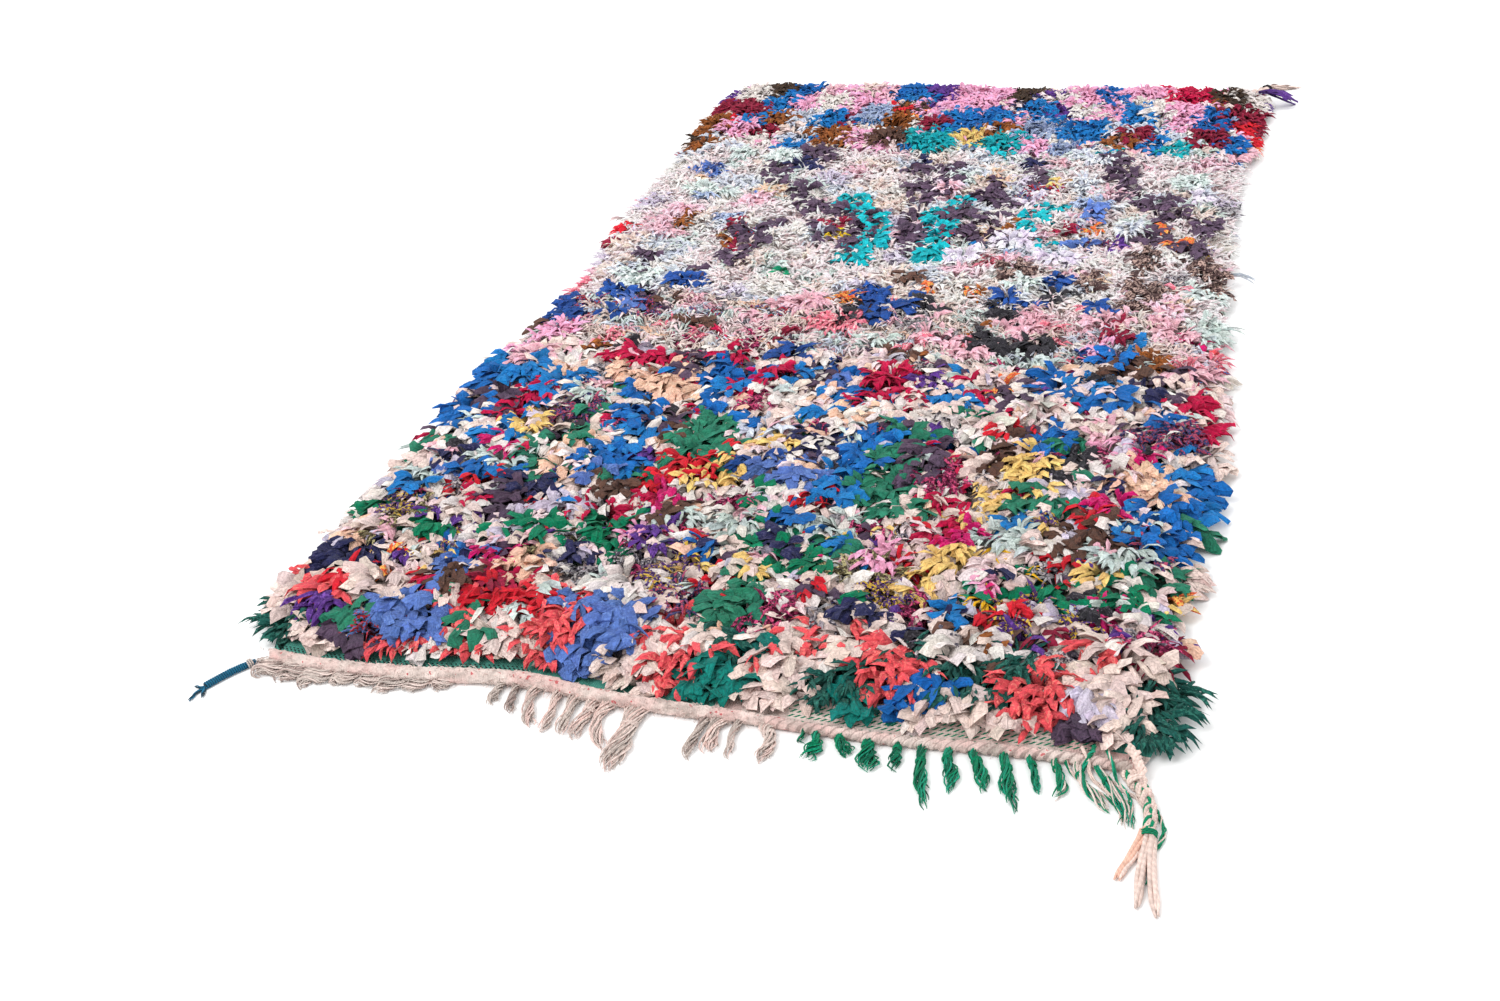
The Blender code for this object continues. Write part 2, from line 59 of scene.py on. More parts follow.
# The rug's plan, as its solids have it
RUG_WIDTH = 1.25
NEAR_END = -1.195
FAR_END = 1.150
WEAVE_INSET = 0.032
WEAVE_THICK = 0.004
HEM_ROUND = 0.035
PILE_BEHIND_FOOT = 0.053
FIRST_ROW = 0.047
BAND_SHOWS = 0.007
PILE_FAR_WALL = FAR_END - 0.020
PILE_RIM_INSET = 0.020
PILE_RIM_HEIGHT = 0.020
PILE_SLOPE = 0.070
LUMP_MIDDLE = 0.35
LUMP_LENGTH = 0.085
LUMP_WIDTH = 0.065
CORNER_ROUND = 0.020
CORNER_REACH = 0.080

# The tufts: how high they may stand, how far the weaver's patches are lifted, how near a wall they lean out
# over it, how much the strips of one cloth differ, and the lightest dye
HIGHEST_TUFT = 0.048
PATCH_LIFT = 0.003
RIM_PULL_REACH = 0.022
DYE_SPREAD = 0.08
MOST_LIGHT = 0.92

# The hem's roll at its full size: half its depth, its middle and half its height, and its top. Then how far
# inwards its end lies in the cloth's own measure, where the roll becomes a rope, and its section's points
ROLL_DEPTH = 0.0112
ROLL_MIDDLE = 0.0088
ROLL_HEIGHT = 0.0092
ROLL_TOP = 0.0175
ROLL_END = 0.0215
ROPE_STARTS = 0.13
ROLL_POINTS = 19

# The flat band between roll and pile: how far behind the foot its points lie, and how it rises at the right
BAND_DEPTHS = [0.024, 0.028, 0.033, 0.038, 0.043, 0.048, PILE_BEHIND_FOOT]
BAND_RISE = 0.007
BAND_RISE_STARTS = 0.10
GROUND_HALF = 0.6
GROUND_COLUMNS = 480

# The camera: its place, its turns in degrees, and its lens and sensor in millimetres
CAMERA_PLACE = (0.7013, -2.7402, 1.3335)
CAMERA_HEADING = 19.81
CAMERA_PITCH = 58.623
CAMERA_ROLL = -5.784
CAMERA_LENS = 41.1
CAMERA_SENSOR = 36

# Reach of the pile on each side, one row per place along the rug
Rim = namedtuple("Rim", "y left right")
RIM = [
    Rim(y=-1.16, left=-0.612, right=0.634),
    Rim(y=-1.05, left=-0.634, right=0.632),
    Rim(y=-0.90, left=-0.634, right=0.628),
    Rim(y=-0.75, left=-0.628, right=0.624),
    Rim(y=-0.60, left=-0.622, right=0.638),
    Rim(y=-0.45, left=-0.630, right=0.640),
    Rim(y=-0.30, left=-0.622, right=0.632),
    Rim(y=-0.15, left=-0.600, right=0.622),
    Rim(y=0.02, left=-0.592, right=0.614),
    Rim(y=0.25, left=-0.620, right=0.615),
    Rim(y=0.50, left=-0.628, right=0.613),
    Rim(y=0.80, left=-0.628, right=0.626),
    Rim(y=1.00, left=-0.630, right=0.642),
    Rim(y=1.14, left=-0.612, right=0.640),
]

# The hem's foot, where the rug ends at the near side
Foot = namedtuple("Foot", "x y")
HEM_FOOT = [
    Foot(x=-0.590, y=-1.188),
    Foot(x=-0.550, y=-1.196),
    Foot(x=-0.450, y=-1.196),
    Foot(x=-0.350, y=-1.190),
    Foot(x=-0.280, y=-1.179),
    Foot(x=-0.200, y=-1.175),
    Foot(x=-0.120, y=-1.190),
    Foot(x=0.000, y=-1.195),
    Foot(x=0.100, y=-1.193),
    Foot(x=0.200, y=-1.197),
    Foot(x=0.300, y=-1.200),
    Foot(x=0.400, y=-1.194),
    Foot(x=0.500, y=-1.191),
    Foot(x=0.600, y=-1.196),
]

# Cloths: dye and second colour of a print as sRGB, the print's share, the piece it is in, and how it is cut
Cloth = namedtuple("Cloth", "dye fleck share lot cut")
CLOTHS = {
    "ivory": Cloth((230, 220, 215), (190, 178, 180), 0.08, "ivories", "leaf"),
    "cream": Cloth((228, 205, 197), (198, 168, 164), 0.08, "creams", "leaf"),
    "shell": Cloth((242, 214, 216), (222, 184, 190), 0.10, "shells", "feather"),
    "blush": Cloth((236, 184, 196), (215, 138, 158), 0.12, "pinks", "feather"),
    "pink": Cloth((248, 172, 204), (220, 112, 158), 0.10, "pinks", "feather"),
    "rose": Cloth((220, 112, 132), (240, 200, 200), 0.22, "pinks", "feather"),
    "mint": Cloth((200, 212, 208), (160, 184, 180), 0.12, "cools", "feather"),
    "ice": Cloth((206, 211, 224), (160, 172, 200), 0.12, "cools", "feather"),
    "lilac": Cloth((206, 196, 214), (168, 152, 186), 0.12, "cools", "leaf"),
    "mist": Cloth((160, 174, 202), (52, 76, 138), 0.24, "cools", "feather"),
    "silver": Cloth((176, 170, 174), (70, 66, 78), 0.30, "cools", "shred"),
    "royal": Cloth((24, 100, 175), (16, 66, 132), 0.10, "blues", "leaf"),
    "azure": Cloth((28, 118, 187), (20, 84, 154), 0.12, "blues", "leaf"),
    "cobalt": Cloth((34, 72, 141), (20, 44, 96), 0.12, "blues", "leaf"),
    "periwinkle": Cloth((84, 112, 180), (104, 134, 196), 0.18, "blues", "leaf"),
    "navy": Cloth((38, 40, 78), (72, 70, 108), 0.18, "blues", "leaf"),
    "turquoise": Cloth((16, 160, 170), (12, 122, 140), 0.12, "blues", "leaf"),
    "coral": Cloth((232, 84, 92), (240, 128, 118), 0.18, "reds", "feather"),
    "crimson": Cloth((196, 22, 72), (150, 14, 54), 0.14, "reds", "feather"),
    "claret": Cloth((144, 32, 60), (98, 20, 44), 0.20, "reds", "feather"),
    "red": Cloth((208, 32, 48), (168, 20, 40), 0.10, "reds", "feather"),
    "magenta": Cloth((200, 22, 102), (225, 80, 145), 0.14, "reds", "feather"),
    "orange": Cloth((226, 96, 58), (240, 180, 90), 0.32, "reds", "feather"),
    "peach": Cloth((238, 194, 170), (210, 138, 106), 0.12, "golds", "leaf"),
    "yellow": Cloth((242, 202, 124), (220, 168, 92), 0.12, "golds", "feather"),
    "gold": Cloth((240, 186, 36), (215, 150, 22), 0.12, "golds", "shred"),
    "rust": Cloth((146, 84, 40), (104, 58, 34), 0.22, "golds", "feather"),
    "olive": Cloth((92, 82, 60), (186, 176, 130), 0.32, "golds", "shred"),
    "leopard": Cloth((64, 46, 46), (190, 160, 150), 0.30, "darks", "leaf"),
    "brown": Cloth((94, 66, 56), (62, 44, 42), 0.18, "darks", "leaf"),
    "umber": Cloth((60, 46, 38), (104, 80, 58), 0.18, "darks", "feather"),
    "plum": Cloth((84, 66, 86), (56, 44, 62), 0.18, "darks", "leaf"),
    "coal": Cloth((42, 40, 46), (88, 84, 92), 0.18, "darks", "leaf"),
    "purple": Cloth((88, 50, 132), (124, 80, 168), 0.18, "darks", "feather"),
    "green": Cloth((42, 122, 96), (30, 94, 76), 0.12, "greens", "leaf"),
    "emerald": Cloth((6, 122, 86), (4, 90, 66), 0.12, "greens", "leaf"),
    "wool": Cloth((30, 88, 80), (50, 116, 102), 0.22, "greens", "yarn"),
    "teal": Cloth((16, 122, 112), (10, 92, 88), 0.18, "greens", "leaf"),
    "wine_print": Cloth((112, 28, 68), (214, 84, 130), 0.36, "prints", "shred"),
    "purple_print": Cloth((90, 60, 122), (214, 178, 70), 0.32, "prints", "shred"),
    "navy_print": Cloth((56, 60, 104), (178, 76, 104), 0.36, "prints", "shred"),
    "red_print": Cloth((164, 42, 52), (86, 112, 164), 0.36, "prints", "shred"),
    "grey_print": Cloth((88, 82, 96), (204, 194, 194), 0.36, "prints", "shred"),
}
CLOTH_NAMES = list(CLOTHS)

# Patches that the weaver set by eye: middle x and y, half width and half length, all in centimetres
PATCHES = {
    "purple": [
        (-59, 104, 3, 5), (-9, 104, 3, 6), (16, 107, 3, 3), (63, 106, 2, 4), (20, 94, 2, 3.5),
        (17, -34, 2, 2.5), (22, -48, 3.5, 1.5), (-22, -61, 1.5, 2), (-12, -86, 2, 3.5), (-48, -84, 1, 2),
        (-41, -84, 1, 2), (60, -92, 2.5, 2), (-47, -95, 1, 1), (42, -100, 1, 1.5), (39, 25, 1.2, 3),
        (-53.5, -107.8, 3, 2.2),
    ],
    "umber": [(-48, 106, 3, 4), (10, 106, 3, 6), (55, 105, 2.5, 6), (-14, 95, 1.5, 3), (-59, 75, 2, 3)],
    "brown": [
        (-15, 76, 3.5, 4.5), (5, 5, 1.5, 2.5), (-29, -17, 2, 4), (46, -26, 2, 3), (51, -27, 1.5, 2),
        (10, -24, 2.5, 2.5), (32, -55, 2, 5), (-20, -56, 1.5, 3), (-25, -72, 2.5, 2), (47, -76, 3.5, 3.5),
        (-14, -79, 1.5, 2.5), (-37, -99, 2.5, 3), (33, -98, 2, 1), (40, -103, 1.5, 2.5), (-37, -9, 1.5, 2),
        (-58, -18, 1.5, 3),
    ],
    "rust": [
        (-58, 84, 4, 5), (-43, 87, 4, 4), (-16, 88, 3.5, 7), (8, 82, 3, 3.5), (-56, 71, 3, 3),
        (-29, 78, 4, 4), (-28, 73, 3, 2), (34, 76, 2, 3), (18, 0, 1.5, 2), (50, -23, 2, 4),
        (-35, 19, 1.2, 3), (-43, -28, 2, 2), (20, -13, 1.5, 1.5), (-46, 27, 1.5, 3), (19.5, 30, 0.7, 3),
        (15, -24, 2, 1), (-58, 78, 2, 3), (39.5, -100.5, 2, 2),
    ],
    "royal": [
        (-42, 107, 3.5, 4.5), (-17, 106, 4.5, 6), (30.5, 108, 1, 6), (52, 90, 2.5, 7), (2, 88, 3, 6),
        (24, 86, 2, 2), (56, 78, 2.5, 4), (-19, -35, 3.5, 4.5), (-58, -39, 3.5, 4), (-31, -42, 2.5, 1.8),
        (4, -35, 2, 5), (6, -41, 1.5, 3), (-28, -50, 2.5, 4), (-28, -65, 3.5, 3.5), (-57, -53, 3.5, 5),
        (11, -58, 2.2, 8), (36, -33, 2.5, 3.5), (45, -37, 2, 2), (53, -40, 1.5, 4), (38, -50, 2, 5),
        (61, -58, 3, 4), (57, -66, 3, 3), (57, -74, 4, 3), (-8, -49, 1.5, 2), (24, -53, 2, 1.5),
        (6, -77, 1.5, 2), (-4, -87, 1.5, 2), (44, -24, 1.5, 3), (-47, -71, 2.5, 1.5), (-40, -67, 1.5, 2),
        (-17, -45, 1.2, 2.5), (28, 106, 2, 6), (28.5, -112.8, 2.5, 2.5), (31, -110.2, 2, 1.8),
    ],
    "azure": [
        (-14, 102, 3, 3), (-45, 98, 4, 5.5), (14, 96, 3, 4), (35, 94, 3, 8), (-49, 86, 3, 4),
        (-32, 87, 3.5, 5), (-3, 86, 2.5, 7), (7, 88, 3, 5), (17, 89, 3, 4), (26, 82, 4.5, 5.5),
        (37, 87, 2, 4), (41, 79, 1.5, 8), (-36, 73, 4, 3), (55.5, 73, 1.5, 2), (-15, -38, 2, 4),
        (-26, -36, 1.5, 1.5), (-45, -39, 2, 2.5), (-57, -33, 2, 2), (-54, -39, 2.5, 3), (-46, -44, 2, 2),
        (-25, -54, 2, 3), (-27, -60, 2.5, 3), (-24, -66, 2, 3), (-49, -60, 3, 3), (1, -45, 2.5, 3),
        (-7, -35, 2, 2.5), (20, -37, 2.5, 2.5), (24, -39, 2, 1.5), (41, -34, 2, 3.5), (57, -55, 2.5, 3),
        (61, -64, 3, 3.5), (9, -63, 2, 4), (10, -69, 2, 3.5), (-56, -76, 1.5, 3), (36, -72, 2.5, 2.5),
        (16.5, -84, 1.5, 2), (33, -96, 2, 2.5), (49.5, -99.5, 1, 0.8), (52, -72, 1.5, 3),
        (16, 21.5, 1, 1.5), (-31, -76, 1.5, 1.5), (-44, -71, 1.5, 1.5), (13, -52, 1.5, 3),
        (47, -17, 1.2, 2),
    ],
    "cobalt": [
        (-36, 0, 3.5, 4.5), (-49, -5, 3, 2.5), (-56, -11, 3.5, 4), (-52, -15, 3, 2.5), (-46, -15, 2, 1.5),
        (0, -2, 3, 3), (2, -8, 2.5, 5), (6, -6, 1, 3), (31, 7, 1.8, 2.5), (28, -3, 1, 1),
        (41, -3.5, 4, 1.5), (23, -2, 1.8, 2.5), (-8, -27, 1.5, 1.5), (-1, -28, 1.5, 1.5), (40.5, -23, 1, 2),
        (-5, -63, 2, 2),
    ],
    "periwinkle": [
        (-1, -63, 3, 3), (3, -66, 3, 2.5), (-52, -70, 2, 2), (-27, -71, 2, 2), (-39, -95, 3, 3),
        (-12, -103, 3, 2), (-14, -107, 4, 3), (-10, -108, 3, 3), (-17, -101, 2, 2), (33, 38, 1.8, 4),
        (-36, 41, 1, 1), (33, 24, 2, 1.5), (-43, -10, 1.5, 4), (2, -33, 1.2, 2), (-40, -107, 5, 4.5),
        (-13.5, -111.5, 4, 4.5),
    ],
    "navy": [
        (-30, 59, 2.5, 3.5), (-6, 65, 2.2, 3), (18, 65, 1.5, 2.5), (-47.5, 0, 1.5, 2.5), (12, 98, 2.5, 3),
        (6, -84, 2, 2), (-25, -91, 4, 1.5), (-57, -96, 4.5, 4.5), (20, -97, 2.5, 2), (37, -86, 1.5, 1),
        (3, -56, 2, 4), (50, -34, 1.2, 2), (-36, -73, 3, 3), (30, -100, 2, 3), (-52, -68, 1.5, 2),
        (47, -61, 1.5, 1.5),
    ],
    "turquoise": [
        (-7, 76, 4.5, 5), (5.5, 74, 1, 1.5), (10, 74, 3, 4.5), (32.5, 71, 1, 2.5), (45, 73, 3, 3),
        (-15, 40, 2.5, 3), (-12, 35, 1.5, 4), (-8, 31, 2.5, 3), (-7, 26, 2, 4), (-6, 20, 2, 4),
        (-8, 14, 2.5, 4), (6, 43, 2, 3), (4, 34, 1.5, 7), (6, 26, 2, 8), (6, 17, 2.2, 4), (3, 12, 1.5, 3),
        (25, 40, 2.5, 3.5), (22.5, 34, 1.5, 4), (23, 30, 2.5, 2), (26, 24, 0.8, 3),
    ],
    "pink": [
        (-30, 108, 5, 4), (0, 104, 6.5, 9), (0, 97, 6.5, 4), (24, 104, 3.5, 6), (36, 108, 5, 4),
        (-39, 97, 3, 4), (-27, 99, 4, 6), (-9, 95, 3, 4), (30, 94, 2.5, 6), (46, 92, 3, 8),
        (-51, 81, 3, 4.5), (11, 88, 1.5, 5), (17, 73, 4, 3), (-22, 76, 2, 4), (42, -19, 2.5, 2.5),
        (-54, -23, 4, 2.5), (21, -85, 3, 2.5), (36, -89, 1.5, 2), (-15, -83, 2, 2), (-57, -28, 3, 1.5),
        (48, -51, 2, 2),
    ],
    "blush": [
        (-36, 106, 3, 3), (-22, 105, 1.5, 5), (59, 72, 3, 3), (-53, -34, 3, 3), (50, -3, 3, 6),
        (53, -10, 4, 4), (28, -12, 4, 4), (-12, -8, 4, 3), (14, -18, 5, 3), (38, 74, 2, 3), (3, 48, 2, 4),
        (-48, 32, 4, 3), (56, -26, 3, 2), (-35, 38, 5, 4), (20, -22, 4, 2), (-20, -12, 4, 2),
        (12, -10, 2, 2), (42, -8, 3, 2),
    ],
    "rose": [
        (-56, -1, 2.5, 3), (-58, -4, 2, 1.5), (-3, -15, 4, 3.5), (52, 5, 1.2, 2), (-44, -24, 2, 2),
        (33, -11, 1, 3), (10, -21, 1.5, 2), (60, -17, 3, 2.5), (18, -19, 1.5, 2), (-8, -13, 2, 2),
        (37, -4, 1, 1.5),
    ],
    "crimson": [
        (47, 107, 5, 6), (-19, -29, 2.5, 2), (-35, -32, 4, 2.5), (-29, -32, 3, 3), (10, -35, 3, 5.5),
        (14, -41, 1.2, 2), (7, -43, 2, 1.2), (-10, -33, 2, 3), (-12, -38, 2, 4), (-48, -46, 3, 3.5),
        (-49, -52, 2, 3), (24, -36, 2, 2), (26, -38, 2, 1.5), (31, -42, 1.5, 2), (60, -42, 3, 3),
        (26, -57, 1.5, 3), (-20, -48, 1.5, 3), (-17, -73, 2.5, 4), (27, -76, 1.5, 3), (-23, -79, 4, 1.5),
        (-45, -79, 2.5, 1.5), (57, -35, 3, 3), (-39, -101, 0.8, 1), (40, -39, 1.2, 1), (26, -69, 3, 2),
        (-28, -99, 1.5, 2), (-22, -21, 2, 1.5),
    ],
    "claret": [
        (-54, 95, 5.5, 5), (-52, 90, 3, 2), (59, 96, 5, 5), (63, 88, 3, 8), (-45, 81, 2, 2.5),
        (-27, 88, 1.5, 4), (-7, 86, 2.5, 4), (37, 81, 2.5, 3.5), (52, 78, 2.5, 5), (-58.5, 18, 1.5, 2.5),
        (-35, 26, 0.8, 4), (-32, 16, 1, 3), (-14.5, 27.5, 1, 1.5), (29, 29, 1.5, 3), (-32, -98, 2, 4),
        (44, -13, 1.5, 4), (-18, 31, 0.5, 2), (-42, 22, 1, 3), (-12, -21, 1.5, 1.5), (60, -100, 4, 2.2),
        (43.5, -98, 1, 2),
    ],
    "red": [
        (-54, 84, 1.5, 1.5), (57, 88, 2.5, 3), (60, 82, 1, 3), (-58.5, 26, 2.5, 2.5), (-17, 94, 1.5, 2.5),
        (32, -48, 2.5, 1.5), (9, -52, 1, 2), (-15, -64, 2.5, 2), (-13, -66, 3, 2), (-11, -63, 1.5, 2),
        (-18, -69, 3, 2.5), (7, -71, 1.8, 3), (-46, -74, 2, 1.5), (45, -81.5, 2.5, 1), (24, -86, 1.5, 1.2),
        (-5, -85, 1, 1), (-1, -95, 1.5, 4), (38, -95.5, 2.5, 2), (-29, -102, 4, 2), (-23, -103, 3, 2),
        (-54, -102, 2, 1.5), (47, -70, 1.2, 2),
    ],
    "magenta": [
        (-46, -63, 2.5, 2), (49, -67, 2.5, 2), (-14, -74, 1.5, 3), (30.5, -78, 2, 2.5),
        (-34, -92, 2.5, 1.5), (-12, -34, 1, 1), (57, -12, 1, 2), (52, -52, 1.5, 1.5),
    ],
    "orange": [
        (47.5, 30, 2.5, 2), (50, 24, 2, 2.5), (34.5, 31, 2, 3), (61, 76, 1, 3), (-49, -98, 2, 1.5),
        (28, -34, 1, 1.5), (59.5, -85, 0.8, 1.2), (-38, 7, 1.2, 2), (9, 2, 0.8, 4), (15.5, 3, 0.8, 2),
        (-13, 91, 0.8, 3), (42, 10, 0.6, 1),
    ],
    "coral": [
        (-17, -106, 3, 3), (16, -104, 3, 2.5), (60, -14, 2, 2), (-40, -113.5, 3.5, 3),
        (-29.5, -113.5, 2.8, 2.8), (-19.5, -111, 3.5, 4.5), (0, -111, 3.5, 4.5), (9.5, -109, 2.5, 2),
        (26.5, -107.5, 4.5, 4), (27, -111, 2, 1.5), (45.8, -110.5, 4.6, 5.2), (51, -102, 3, 2),
        (-56, -105, 3, 3), (-35, -106.5, 3, 3), (62.5, -113, 1.2, 1.5),
    ],
    "peach": [
        (-28, -38, 3, 2.5), (-25, -42, 4, 3), (-34, -37, 2, 3), (7, -46, 2.5, 2.5), (53, -56, 2.5, 3),
        (51, -61, 3, 3), (56, -63, 2, 2), (-34, -62, 3, 3), (-20, -58, 1.5, 1), (-29, -95, 3, 3.5),
        (-35, -69, 3, 2), (-48, 50, 2, 2),
    ],
    "yellow": [
        (2, 77, 2.5, 4), (-3, -55, 3.5, 2), (-46, -54, 2.5, 3), (-44, -58, 2, 2), (-7, -64, 2.5, 3.5),
        (-12, -68, 3, 2), (36, -57, 3, 3.5), (33, -64, 2, 4), (38, -63, 2, 3), (30, -71, 1.5, 2),
        (27, -90, 2, 2), (30, -83, 2.5, 3), (-5, -91, 1, 2), (25, 54, 2, 3), (-44, 75, 2, 2),
    ],
    "gold": [
        (35, -81.5, 1, 1.5), (39, -85, 1, 1.5), (34.5, -93, 1, 1.5), (-14, 23, 1.2, 2.5), (56, 22, 1, 1),
        (52, 24, 1, 1),
    ],
    "plum": [
        (-29, 66, 4, 3.5), (-35, 55, 2.5, 4), (-33, 50, 1.5, 3), (-26, 44, 2.5, 4), (-22, 37, 3, 4),
        (-15, 34, 2, 4), (-11, 31, 2, 3), (-9, 27, 3, 4), (-10, 20, 3, 4), (-6, 57, 2, 3), (1, 60, 2, 3),
        (2, 54, 2.5, 4), (-2.5, 48, 2, 3.5), (-2, 40, 1.5, 5), (2, 47, 1, 5), (8, 35, 2.5, 5), (9, 28, 2, 4),
        (11, 46, 2.2, 4), (16.5, 43, 2.5, 3), (15, 33, 2.2, 2.5), (14, 26, 3, 1.5), (1, 23, 2.5, 7),
        (-1, 33, 1.5, 3), (34, 64, 2.5, 4), (38, 57, 2, 4), (40, 50, 2.5, 4.5), (44, 43, 2.5, 4),
        (47, 44, 2.5, 5), (49, 38, 2, 3), (47, 33, 3, 2.5), (54, 34, 2.5, 4), (46, 27, 3, 5),
        (53, 22, 2.5, 3.5), (-27, 27, 2.5, 3), (-31, 22, 3, 3), (-28.5, 18, 2, 3.5), (-31, 10.5, 2.5, 3),
        (-34, 4, 2.5, 3), (-47, 8, 1.5, 4), (-16, 22, 2, 3), (-17, 27, 2, 2), (19.5, 58, 1, 4),
        (20, 54, 1.2, 3), (13, 51, 2, 1.5), (-25, -35, 2, 5), (-54, -47, 2.5, 3.5), (-51, -50, 2, 3),
        (-23, -51, 1.5, 4), (-3, -35, 2, 4), (30, -37, 3, 3), (22, -57, 2.5, 3.5), (-39, -79, 2.5, 3.5),
        (-43, -5, 2, 3), (3, -60, 1.5, 2), (20, -62, 2, 2), (-46.5, -113, 2, 3), (50.5, -113.8, 2.5, 2.5),
    ],
    "coal": [
        (-2, -10, 2, 3), (10, -7, 1.5, 3), (24, -7, 1.5, 2.5), (31.5, 0, 1, 2.5), (25, -20, 4, 2.5),
        (31, -20, 3, 2.5), (22, -17, 1.5, 2), (41, -57, 2, 3.5), (49.5, -91.5, 1.3, 2), (30, -102, 1.5, 2),
        (44, -30, 1.5, 1.5), (62, 68, 0.8, 8), (-26, -47, 1.2, 2),
    ],
    "leopard": [
        (45.5, 18, 2, 3), (45.5, 12, 1.5, 4), (46.5, 5, 2.5, 4), (46, -2, 2, 4), (54.5, 16, 2.5, 3),
        (57, 13, 2, 3), (57, 7, 3, 1.5), (23, 9, 2, 3.5), (36.5, 3, 1, 5),
    ],
    "green": [
        (-34, -48, 2, 5), (-36, -59, 3, 3.5), (-15, -50, 4, 3), (-14, -56, 4.5, 4.5), (-15, -62, 3, 3),
        (-38, -66, 2, 3), (-37, -70, 2, 2), (-24, -69, 3, 2), (-57, -61, 2.5, 1.5), (-59, -66, 2, 2),
        (17, -52, 2.5, 4), (16, -60, 3, 4), (17, -66, 3, 4), (14, -68, 2, 3), (41, -51, 2, 2.5),
        (41, -66, 3, 2), (36, -68, 2, 1.5), (60, -69, 3, 2.5), (20, -72, 3, 2), (12, -83, 3, 2),
        (57, -83, 2.5, 2), (4, -94, 2.5, 2), (2, -99, 3, 3.5), (6, -99, 2, 3), (-48.5, -108, 3, 3),
        (-33.5, -104.5, 2.5, 1.8), (-29.5, -108.8, 2, 1.5),
    ],
    "emerald": [
        (-20, -83, 3.5, 3), (-18, -88, 1.5, 2), (-30, -86, 2.5, 2.5), (-46, -87, 3, 1.5),
        (3, -82, 2.5, 2.5), (8, -88, 1.5, 1.5), (12, -88, 2.5, 1.5), (-59, -81, 1.2, 2.5), (-36, -88, 1, 2),
        (42, -87, 3, 2.5), (47, -90, 2, 2), (53, -87, 2, 2.5), (56.5, -91, 1.2, 1), (-18.5, 4, 1, 1.8),
    ],
    "wool": [
        (42, -103.5, 2, 1.5), (-58.6, -111.5, 4, 4.5), (20.5, -111, 5, 4.5), (37.3, -107.8, 5.2, 4.5),
        (28, -105.5, 2, 2), (60, -106, 4, 5), (60, -112.5, 5, 5), (6.5, -107.5, 3, 2.5),
    ],
    "teal": [(60, -22, 1, 1), (5, -112, 4.5, 4), (25, -114, 4.5, 1.8), (8, -107, 1, 2)],
    "ivory": [
        (-53, 105, 4, 6), (18, 103, 2.5, 4), (36, 101, 4, 3), (59, 105, 3, 5), (-34, 99, 4, 7),
        (26, 94, 3, 4), (41, 93, 2.5, 6), (-11, 87, 1.5, 2), (-44, 75, 4, 3), (-12, -97, 2.5, 3.5),
        (35, -102, 3, 3), (-35, -113.5, 3.2, 3),
    ],
    "cream": [
        (-47, -102, 4, 4), (-58, -105, 3, 3), (12, -108, 3, 3), (21, -104, 3, 3), (-58, -70, 5, 3),
        (-27, 106, 2.5, 4), (-38, 80, 2, 3), (55, -103, 4, 3), (-51.3, -112.5, 3, 3.5), (-26, -109.5, 3, 3),
        (-25, -113, 3.2, 3), (-7, -111.8, 3.5, 4), (13.5, -113, 4.5, 3.5), (37.5, -113.5, 6, 3),
        (55.5, -110.5, 3.5, 5.5), (54, -104.5, 4, 3),
    ],
    "mint": [
        (-37, -44, 3, 2), (-45, -67, 5, 2), (11, -77, 4, 2.5), (52, -79, 3, 3), (35, -77, 3, 3),
        (-56, -73, 3, 2), (-45, 64, 3, 3), (-36, 62, 4, 4), (-45, 43, 7, 4), (50, 55, 5, 5), (5, 56, 3, 3),
        (22, -9, 2, 1.5), (26, 4, 3, 3), (56, 5, 4, 4), (58, -8, 3, 4), (30, -25, 5, 2), (4, -20, 3, 3),
        (-2, -79, 2, 2), (-11, -79, 2, 2), (-47, 0, 5, 6), (-24.5, -104, 3, 3),
    ],
    "ice": [
        (-37, 88, 3, 4), (33, 84, 3, 3), (41, 86, 3, 4), (-36, 78, 3, 4), (47, -91, 1.3, 1.5),
        (-6, -52, 3.5, 2), (30, 52, 3, 5), (36, 42, 3, 3), (41, 30, 2, 6), (45, 47, 3, 2), (-50, 68, 8, 2),
        (10, 68, 9, 1.5), (30, 66, 6, 4),
    ],
    "mist": [
        (-21, 91, 4, 5), (16, 82, 4, 5), (25, 72, 4, 2), (33, 42, 4, 3), (20, 17, 2, 2), (-46, 40, 3, 3),
        (-38, 31, 2, 2),
    ],
    "lilac": [
        (-28, -78, 2, 2), (-35, -84, 2, 2), (7, -59, 2, 2), (20, 24, 5, 3), (12, 15, 4, 3), (30, 17, 6, 3),
        (52, 46, 4, 3), (42, -64, 3, 2), (20, 44, 2, 3), (-30, -80, 2, 1), (50.8, -109.5, 2.5, 3.5),
    ],
    "silver": [
        (-38, -36, 3, 2.5), (9, -14, 4, 2), (14, -29, 3, 2), (-18, -94, 4, 3), (16, -99, 3, 2),
        (44, -84, 2, 1.5),
    ],
    "wine_print": [
        (-10, -44, 3, 3), (49, -53, 2, 3), (24, -63, 3, 3), (16, -77, 2.5, 2), (8, -100, 3, 3.5),
        (28, -95, 2, 2.5), (-5, -73, 3, 2), (-32, -53, 2, 2.5), (27, -28, 2, 1.5), (57, -98, 2, 2),
        (-50, -22, 1.5, 1),
    ],
    "purple_print": [
        (23, -93, 3, 2), (43, -91, 2.5, 2), (-8, -90, 2, 2), (55, 26, 1.5, 2), (50, -95, 2, 1.5),
        (-8, -95, 2, 2), (-36, -72, 2, 2), (-55, -82, 2, 3), (40, -97, 1.5, 1.5),
    ],
    "navy_print": [
        (-38, -50, 3, 3), (56, -46, 4, 4), (51, -48, 2, 2), (62, -77, 2, 3), (56, -78, 2.5, 2),
